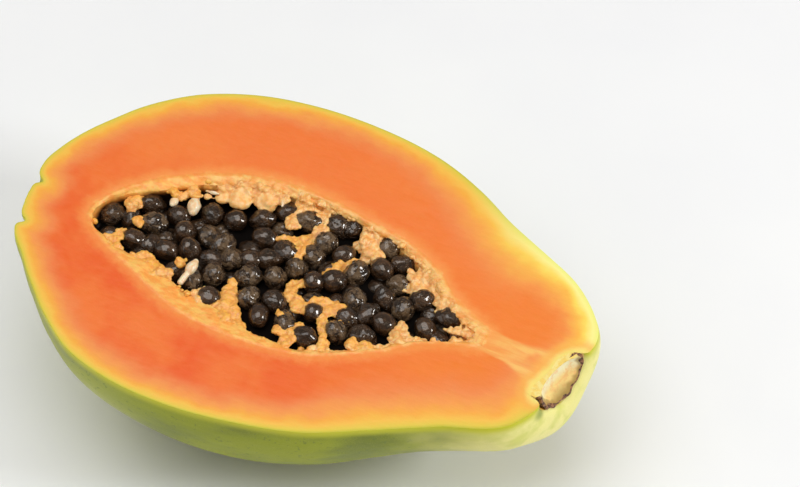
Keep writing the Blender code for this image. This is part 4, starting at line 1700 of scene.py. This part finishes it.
    def build(self) -> bpy.types.Object:
        """Builds the pulp as one crumbly skin over all its balls.

        Returns:
            The pulp.
        """
        balls, tones, smooth = self.balls()
        places = []
        for *middle, r in balls:
            size = Matrix.Diagonal((r, r, r * self.flat + self.thinnest, 1.0))
            places.append(Matrix.Translation(placed(middle)) @ size)
        pulp = fused("pulp", places, self.voxel, self.melt)
        points = corners_of(pulp.data) / MM - TIP
        nearest = np.empty(len(points), int)
        for start in range(0, len(points), self.at_once):
            part = points[start : start + self.at_once]
            gaps = ((part[:, None] - balls[None, :, :3]) ** 2).sum(axis=2) - balls[None, :, 3] ** 2
            nearest[start : start + self.at_once] = gaps.argmin(axis=1)
        give(pulp.data, "tone", tones[nearest])
        rumple(pulp, Relief.SOFT, self.dent, self.dent_grain)
        chip(pulp, self.chip_heights, self.chip_grains, np.where(smooth[nearest], 0.3, 1.0))
        return pulp

    def dress(self, pulp: bpy.types.Object) -> None:
        """Gives the pulp its finish."""
        pulp.data.shade_smooth()
        finish_piece(pulp, "fruit_half", "flesh", PulpFinish().make())


@dataclass
class Ovules:
    """The cream seeds that never ripened, each on its thread."""

    steps: int = 26
    thread: float = 0.55
    taper: float = 0.25
    voxel: float = 0.16
    melt: int = 4

    def build(self) -> bpy.types.Object:
        """Builds the ovules as drops that taper into their threads.

        Returns:
            All of them as one object.
        """
        places = []
        for middle, half_length, half_width, root in OVULES:
            centre, start = np.array(middle), np.array(root)
            tip = centre + (centre - start) / np.linalg.norm(centre - start) * half_length
            length = np.linalg.norm(tip - start)
            for k in range(self.steps):
                share = k / (self.steps - 1)
                back = (1.0 - share) * length / half_length
                swell = math.sqrt(max(0.0, back * (2.0 - back)))
                width = half_width * swell * (1.0 - self.taper * smooth_step(0.9, 2.0, back))
                size = Matrix.Scale(max(width, self.thread * half_width), 4)
                places.append(Matrix.Translation(placed(start + (tip - start) * share)) @ size)
        ovules = fused("ovules", places, self.voxel, self.melt)
        rumple(ovules, Relief.SOFT, 0.12, 1.6)
        return ovules

    def dress(self, ovules: bpy.types.Object) -> None:
        """Gives the ovules their finish."""
        ovules.data.shade_smooth()
        finish_piece(ovules, "fruit_half", "flesh", OvuleFinish().make())


class SeedCoat(Enum):
    """How a seed's coat lies: the reliefs that shape it, each with height and grain."""

    FULL = ((Relief.SOFT, 0.35, 3.2), (Relief.STRIPED, 0.07, 1.4))
    DIMPLED = ((Relief.SOFT, 0.5, 2.4), (Relief.CREASED, 0.1, 2.0))
    WRINKLED = ((Relief.SOFT, 0.35, 2.6), (Relief.STRIPED, 0.17, 1.0))
    SHRIVELLED = ((Relief.SOFT, 0.5, 2.2), (Relief.STRIPED, 0.17, 0.9))
    FOLDED = ((Relief.SOFT, 0.4, 2.2), (Relief.CREASED, 0.2, 1.8))


@dataclass
class SeedHeap:
    """The black seeds, packed in the cavity as in the CAD, and the bed under them, dark as painted shadow."""

    radii: tuple = (3.55, 3.05, 2.95)
    spacing: float = 6.05
    count: int = 132
    layer: tuple = (2.0, 8.0)
    spread: float = 8.0
    shown: float = 7.5
    uneven: tuple = (-6.0, -2.2)
    steps: int = 260
    rise: float = 0.12
    push: float = 0.35
    snug: float = 0.85
    widest_gap: float = 3.7
    coat_shares: tuple = (0.3, 0.22, 0.22, 0.12, 0.14)
    coat_apart: float = 0.031
    bed_sections: int = 60
    bed_around: int = 17
    bed_under_top: float = 4.6
    bed_from_depth: float = 6.0
    seed: int = 11

    def settle(self) -> tuple[np.ndarray, np.ndarray]:
        """Packs the seeds: they push each other apart inside the cavity, under the heap's top.

        Returns:
            Their middles in millimetres, and two turns for each.
        """
        rng = np.random.default_rng(self.seed)
        table = through(CAVITY, 1.0)
        xs, far, near, deep = table[np.argsort(table[:, 0])].T
        width = far - near
        body = self.radii[1]
        first, last = xs[width > self.widest_gap * body][[0, -1]]
        spots = np.zeros((self.count, 3))
        spots[:, 0] = np.interp(rng.random(self.count), np.cumsum(width) / np.sum(width), xs)
        spots[:, 1] = np.interp(spots[:, 0], xs, (far + near) / 2)
        spots[:, 1] += rng.uniform(-self.spread, self.spread, self.count)
        spots[:, 2] = heap_top(*spots[:, :2].T) - rng.uniform(*self.layer, self.count)
        lids = rng.uniform(*self.uneven, self.count)
        on_top = np.array(SEEDS_ON_TOP)
        on_top[:, 2] += heap_top(*on_top[:, :2].T) - body
        for _ in range(self.steps):
            spots[:, 2] += self.rise
            gaps = spots[:, None] - spots[None]
            away = np.linalg.norm(gaps, axis=2)
            np.fill_diagonal(away, np.inf)
            short = np.clip(self.spacing - away, 0, None)
            spots += self.push * (gaps * (short / away)[..., None]).sum(axis=1)
            spots[:, 0] = np.clip(spots[:, 0], first, last)
            middle = np.interp(spots[:, 0], xs, (far + near) / 2)
            room = np.interp(spots[:, 0], xs, width / 2) - self.snug * body
            floor = np.interp(spots[:, 0], xs, deep) - self.snug * body
            out = np.hypot((spots[:, 1] - middle) / room, spots[:, 2] / floor)
            pull = 1 / np.maximum(out, 1.0)
            spots[:, 1] = middle + (spots[:, 1] - middle) * pull
            spots[:, 2] *= pull
            spots[:, 2] = np.minimum(spots[:, 2], heap_top(*spots[:, :2].T) + lids - body)
            spots[: len(on_top)] = on_top
        return spots, rng.uniform(0, 2 * math.pi, (self.count, 2))

    def coat(self, kind: SeedCoat) -> bpy.types.Mesh:
        """Models one seed in its coat, away from the origin by its kind so that no two reliefs are alike.

        Args:
            kind: How the coat lies.

        Returns:
            Its mesh, back at the origin.
        """
        deselect()
        bpy.ops.mesh.primitive_ico_sphere_add(subdivisions=4, radius=MM)
        seed = bpy.context.object
        bpy.ops.object.mode_set(mode="EDIT")
        bpy.ops.transform.resize(value=self.radii)
        bpy.ops.object.mode_set(mode="OBJECT")
        offset = Vector((list(SeedCoat).index(kind) * self.coat_apart, 0.0, 0.0))
        move_to(seed.data, corners_of(seed.data) + offset)
        for relief, height, grain in kind.value:
            rumple(seed, relief, height, grain)
        mesh = seed.data
        move_to(mesh, corners_of(mesh) - offset)
        bpy.data.objects.remove(seed)
        return mesh

    def build(self) -> bpy.types.Object:
        """Builds the heap.

        Returns:
            Every seed that shows, in one object.
        """
        spots, turns = self.settle()
        shapes = [self.coat(kind) for kind in SeedCoat]
        rng = np.random.default_rng(self.seed + 1)
        shown = spots[:, 2] + self.shown > heap_top(*spots[:, :2].T)
        places = []
        for spot, turn in zip(spots[shown], turns[shown]):
            turned = Matrix.Rotation(turn[0], 4, "X") @ Matrix.Rotation(turn[1], 4, "Y")
            long, slim = rng.uniform(0.95, 1.1), rng.uniform(0.92, 1.02)
            stretched = Matrix.Diagonal((long, slim, slim, 1.0))
            places.append(Matrix.Translation(placed(spot)) @ turned @ stretched)
        which = rng.choice(len(shapes), len(places), p=self.coat_shares)
        heap = repeated("seeds_dressed", shapes, which, places)
        copy = np.empty(len(heap.data.vertices), np.float32)
        heap.data.attributes["copy"].data.foreach_get("value", copy)
        tones = np.clip(0.28 * which + rng.uniform(-0.1, 0.25, len(places)), 0, 1)
        give(heap.data, "tone", tones[copy.astype(int)])
        x, y, z = (corners_of(heap.data) / MM - TIP).T
        give(heap.data, "under", heap_top(x, y) - z)
        return heap

    def bed(self) -> bpy.types.Object:
        """Builds the bed of hidden seeds under the heap, dark as painted shadow between the seeds.

        Returns:
            The bed.
        """
        rows = evenly(through(CAVITY, 0.5), self.bed_sections)
        inner = rows[rows[:, 3] > self.bed_from_depth]
        turn = np.linspace(0, math.pi, self.bed_around)
        points = []
        for x, far, near, deep in inner:
            across = (far + near) / 2 + ((far - near) / 2 - 1.0) * np.cos(turn)
            over = heap_top(np.full(self.bed_around, x), across) - self.bed_under_top
            under = np.minimum(-(deep - 0.8) * np.sin(turn), over - 0.3)
            points += [(x, y, z) for y, z in zip(across, under)]
            points += [(x, y, z) for y, z in zip(across[::-1], over[::-1])]
        ring = 2 * self.bed_around
        faces = grid_faces(0, len(inner), ring, closed=True) + end_faces(0, len(inner), ring)
        return object_from("seed_bed_painted_shadow", placed(np.array(points)), faces)

    def dress(self, heap: bpy.types.Object, bed: bpy.types.Object) -> None:
        """Gives the heap and its bed their finishes.

        Args:
            heap: The heap.
            bed: The bed.
        """
        for piece, finish in ((heap, SeedFinish()), (bed, SeedShadowBedFinish())):
            piece.data.shade_smooth()
            finish_piece(piece, "seeds", "seed", finish.make())


@dataclass
class StalkScar:
    """The scar where the stalk broke off: a bowl with a ragged crust, of which the cut left half."""

    profile: tuple = (
        (0.0, -2.6),
        (2.2, -2.5),
        (4.4, -2.2),
        (6.2, -1.6),
        (7.4, -0.7),
        (8.1, 0.1),
        (8.5, 0.5),
        (8.9, 0.2),
        (9.0, -1.4),
        (9.3, -2.6),
        (8.6, -4.4),
        (0.0, -4.4),
    )
    sunk: float = -0.04
    spokes: int = 72
    fine: int = 46
    crust_edge: float = 8.7
    crust_width: float = 2.1
    crust_swell: float = 1.5
    crust_floor: float = -1.3
    torn: float = 0.5
    merge: float = 0.01

    def build(self) -> bpy.types.Object:
        """Builds the half scar round its middle, under the cut face.

        Returns:
            The scar.
        """
        outward = Vector((1, -STALK_LEAN, -STALK_TUCK)).normalized()
        across = Vector((-outward.y, outward.x, 0)).normalized()
        down = across.cross(outward)
        if down.z > 0:
            down = -down
        table = np.array(self.profile)
        run = np.concatenate([[0], np.cumsum(np.linalg.norm(np.diff(table, axis=0), axis=1))])
        at = np.linspace(0, run[-1], self.fine)
        radius, height = (np.interp(at, run, column) for column in table.T)
        points, shares, edge = [], [], []
        for k in range(self.spokes + 1):
            angle = math.pi * k / self.spokes
            spoke = across * math.cos(angle) + down * math.sin(angle)
            ragged = 1.0 + 0.9 * noise.noise(Vector((angle * 2.6, 0.0, 3.0)))
            swell = smooth_step(1.6, 3.0, angle)
            uneven = noise.noise(Vector((angle * 4.0, 5.0, 0.0)))
            width = self.crust_width + self.crust_swell * swell + self.crust_swell * uneven
            crust = smooth_step(self.crust_edge - width, self.crust_edge, radius)
            crust *= height > self.crust_floor
            for r, h, c in zip(radius, height, crust):
                torn = self.torn * c * noise.noise(Vector((angle * 3.4, r * 0.9, h)))
                lift = (h * ragged if h > 0 else h) + torn
                place = Vector(SCAR_MIDDLE) + spoke * (r + torn) + outward * lift
                place.z = self.sunk if k in (0, self.spokes) else min(place.z, self.sunk)
                points.append(tuple(place))
                shares.append(c)
                edge.append(-place.z)
        last = self.spokes * self.fine
        cut_face = (*range(self.fine), *(last + j for j in reversed(range(self.fine))))
        faces = grid_faces(0, self.spokes + 1, self.fine) + [cut_face]
        scar = object_from("stalk_scar_dressed", placed(np.array(points)), faces)
        give(scar.data, "crust", shares)
        give(scar.data, "edge", edge)
        bpy.ops.object.mode_set(mode="EDIT")
        bpy.ops.mesh.select_all(action="SELECT")
        bpy.ops.mesh.remove_doubles(threshold=self.merge * MM)
        bpy.ops.mesh.normals_make_consistent(inside=False)
        bpy.ops.object.mode_set(mode="OBJECT")
        return scar

    def dress(self, scar: bpy.types.Object) -> None:
        """Gives the scar its finish; it is still the selected object."""
        bpy.ops.object.shade_smooth_by_angle(angle=SHARP_FROM)
        finish_piece(scar, "stalk_scar", "stalk", ScarFinish().make())


class Lamp(NamedTuple):
    """A square soft light: its name, its place and side in metres, and its strength in watts."""

    name: str
    place: tuple
    side: float
    watts: float


@dataclass
class Studio:
    """A pale floor, soft lights, and the camera of the photograph."""

    eye: tuple = (0.22316, -0.52776, 0.87315)
    aim: tuple = (0.023675, 0.018004, 0.054)
    lens: float = 171.8
    sensor: float = 36.0
    roll: float = 2.13
    floor_side: float = 4.0
    floor_tints: tuple = ("f7f8fa", "fafbfc")
    lit: tuple = (0.0, 0.0, 0.04)
    lamps: tuple = (
        Lamp("overhead_softbox", (-0.15, -0.1, 1.15), 0.95, 8.2),
        Lamp("right_softbox", (0.95, 0.15, 0.65), 0.28, 6.0),
        Lamp("left_fill", (-0.9, -0.5, 0.7), 0.8, 1.6),
    )
    sky: tuple = (1.0, 0.95, 0.9, 1.0)
    sky_strength: float = 0.2

    def floor(self) -> None:
        """Lays the floor."""
        deselect()
        bpy.ops.mesh.primitive_plane_add(size=self.floor_side)
        plane = bpy.context.object
        plane.name = "studio_floor"
        recipe = Recipe("studio_floor_paint")
        tint = recipe.tint(*self.floor_tints, recipe.noise(60.0, detail=3.0), 0.3, 0.7)
        recipe.surface(base_color=tint, roughness=0.7)
        plane.data.materials.append(recipe.material)
        plane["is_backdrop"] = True

    def lights(self) -> None:
        """Hangs the lights, which face the fruit, and sets the sky."""
        for lamp in self.lamps:
            turn = (Vector(self.lit) - Vector(lamp.place)).to_track_quat("-Z", "Y").to_euler()
            bpy.ops.object.light_add(type="AREA", location=lamp.place, rotation=turn)
            light = bpy.context.object
            light.name = lamp.name
            light.data.shape = "SQUARE"
            light.data.size = lamp.side
            light.data.energy = lamp.watts
        world = bpy.data.worlds.new("studio_sky")
        world.use_nodes = True
        background = world.node_tree.nodes["Background"]
        background.inputs["Color"].default_value = self.sky
        background.inputs["Strength"].default_value = self.sky_strength
        bpy.context.scene.world = world
        bpy.context.scene.view_settings.view_transform = "Standard"

    def camera(self) -> None:
        """Places the camera."""
        turn = (Vector(self.aim) - Vector(self.eye)).to_track_quat("-Z", "Y")
        turn = turn @ Quaternion((0, 0, 1), math.radians(self.roll))
        bpy.ops.object.camera_add(location=self.eye, rotation=turn.to_euler())
        camera = bpy.context.object
        camera.data.lens = self.lens
        camera.data.sensor_width = self.sensor
        bpy.context.scene.camera = camera

    def build(self) -> None:
        """Sets up floor, lights and camera."""
        self.floor()
        self.lights()
        self.camera()


def main() -> None:
    """Builds and dresses every piece, and sets up the studio."""
    logging.basicConfig(level=logging.INFO, format="%(name)s: %(message)s", stream=sys.stdout)
    fruit = FruitHalf()
    fruit.dress(fruit.build())
    pulp = Pulp()
    pulp.dress(pulp.build())
    ovules = Ovules()
    ovules.dress(ovules.build())
    seeds = SeedHeap()
    seeds.dress(seeds.build(), seeds.bed())
    scar = StalkScar()
    scar.dress(scar.build())
    Studio().build()
    boxes = [[list(corner) for corner in box] for box in (cad_box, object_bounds())]


if __name__ == "__main__":
    main()
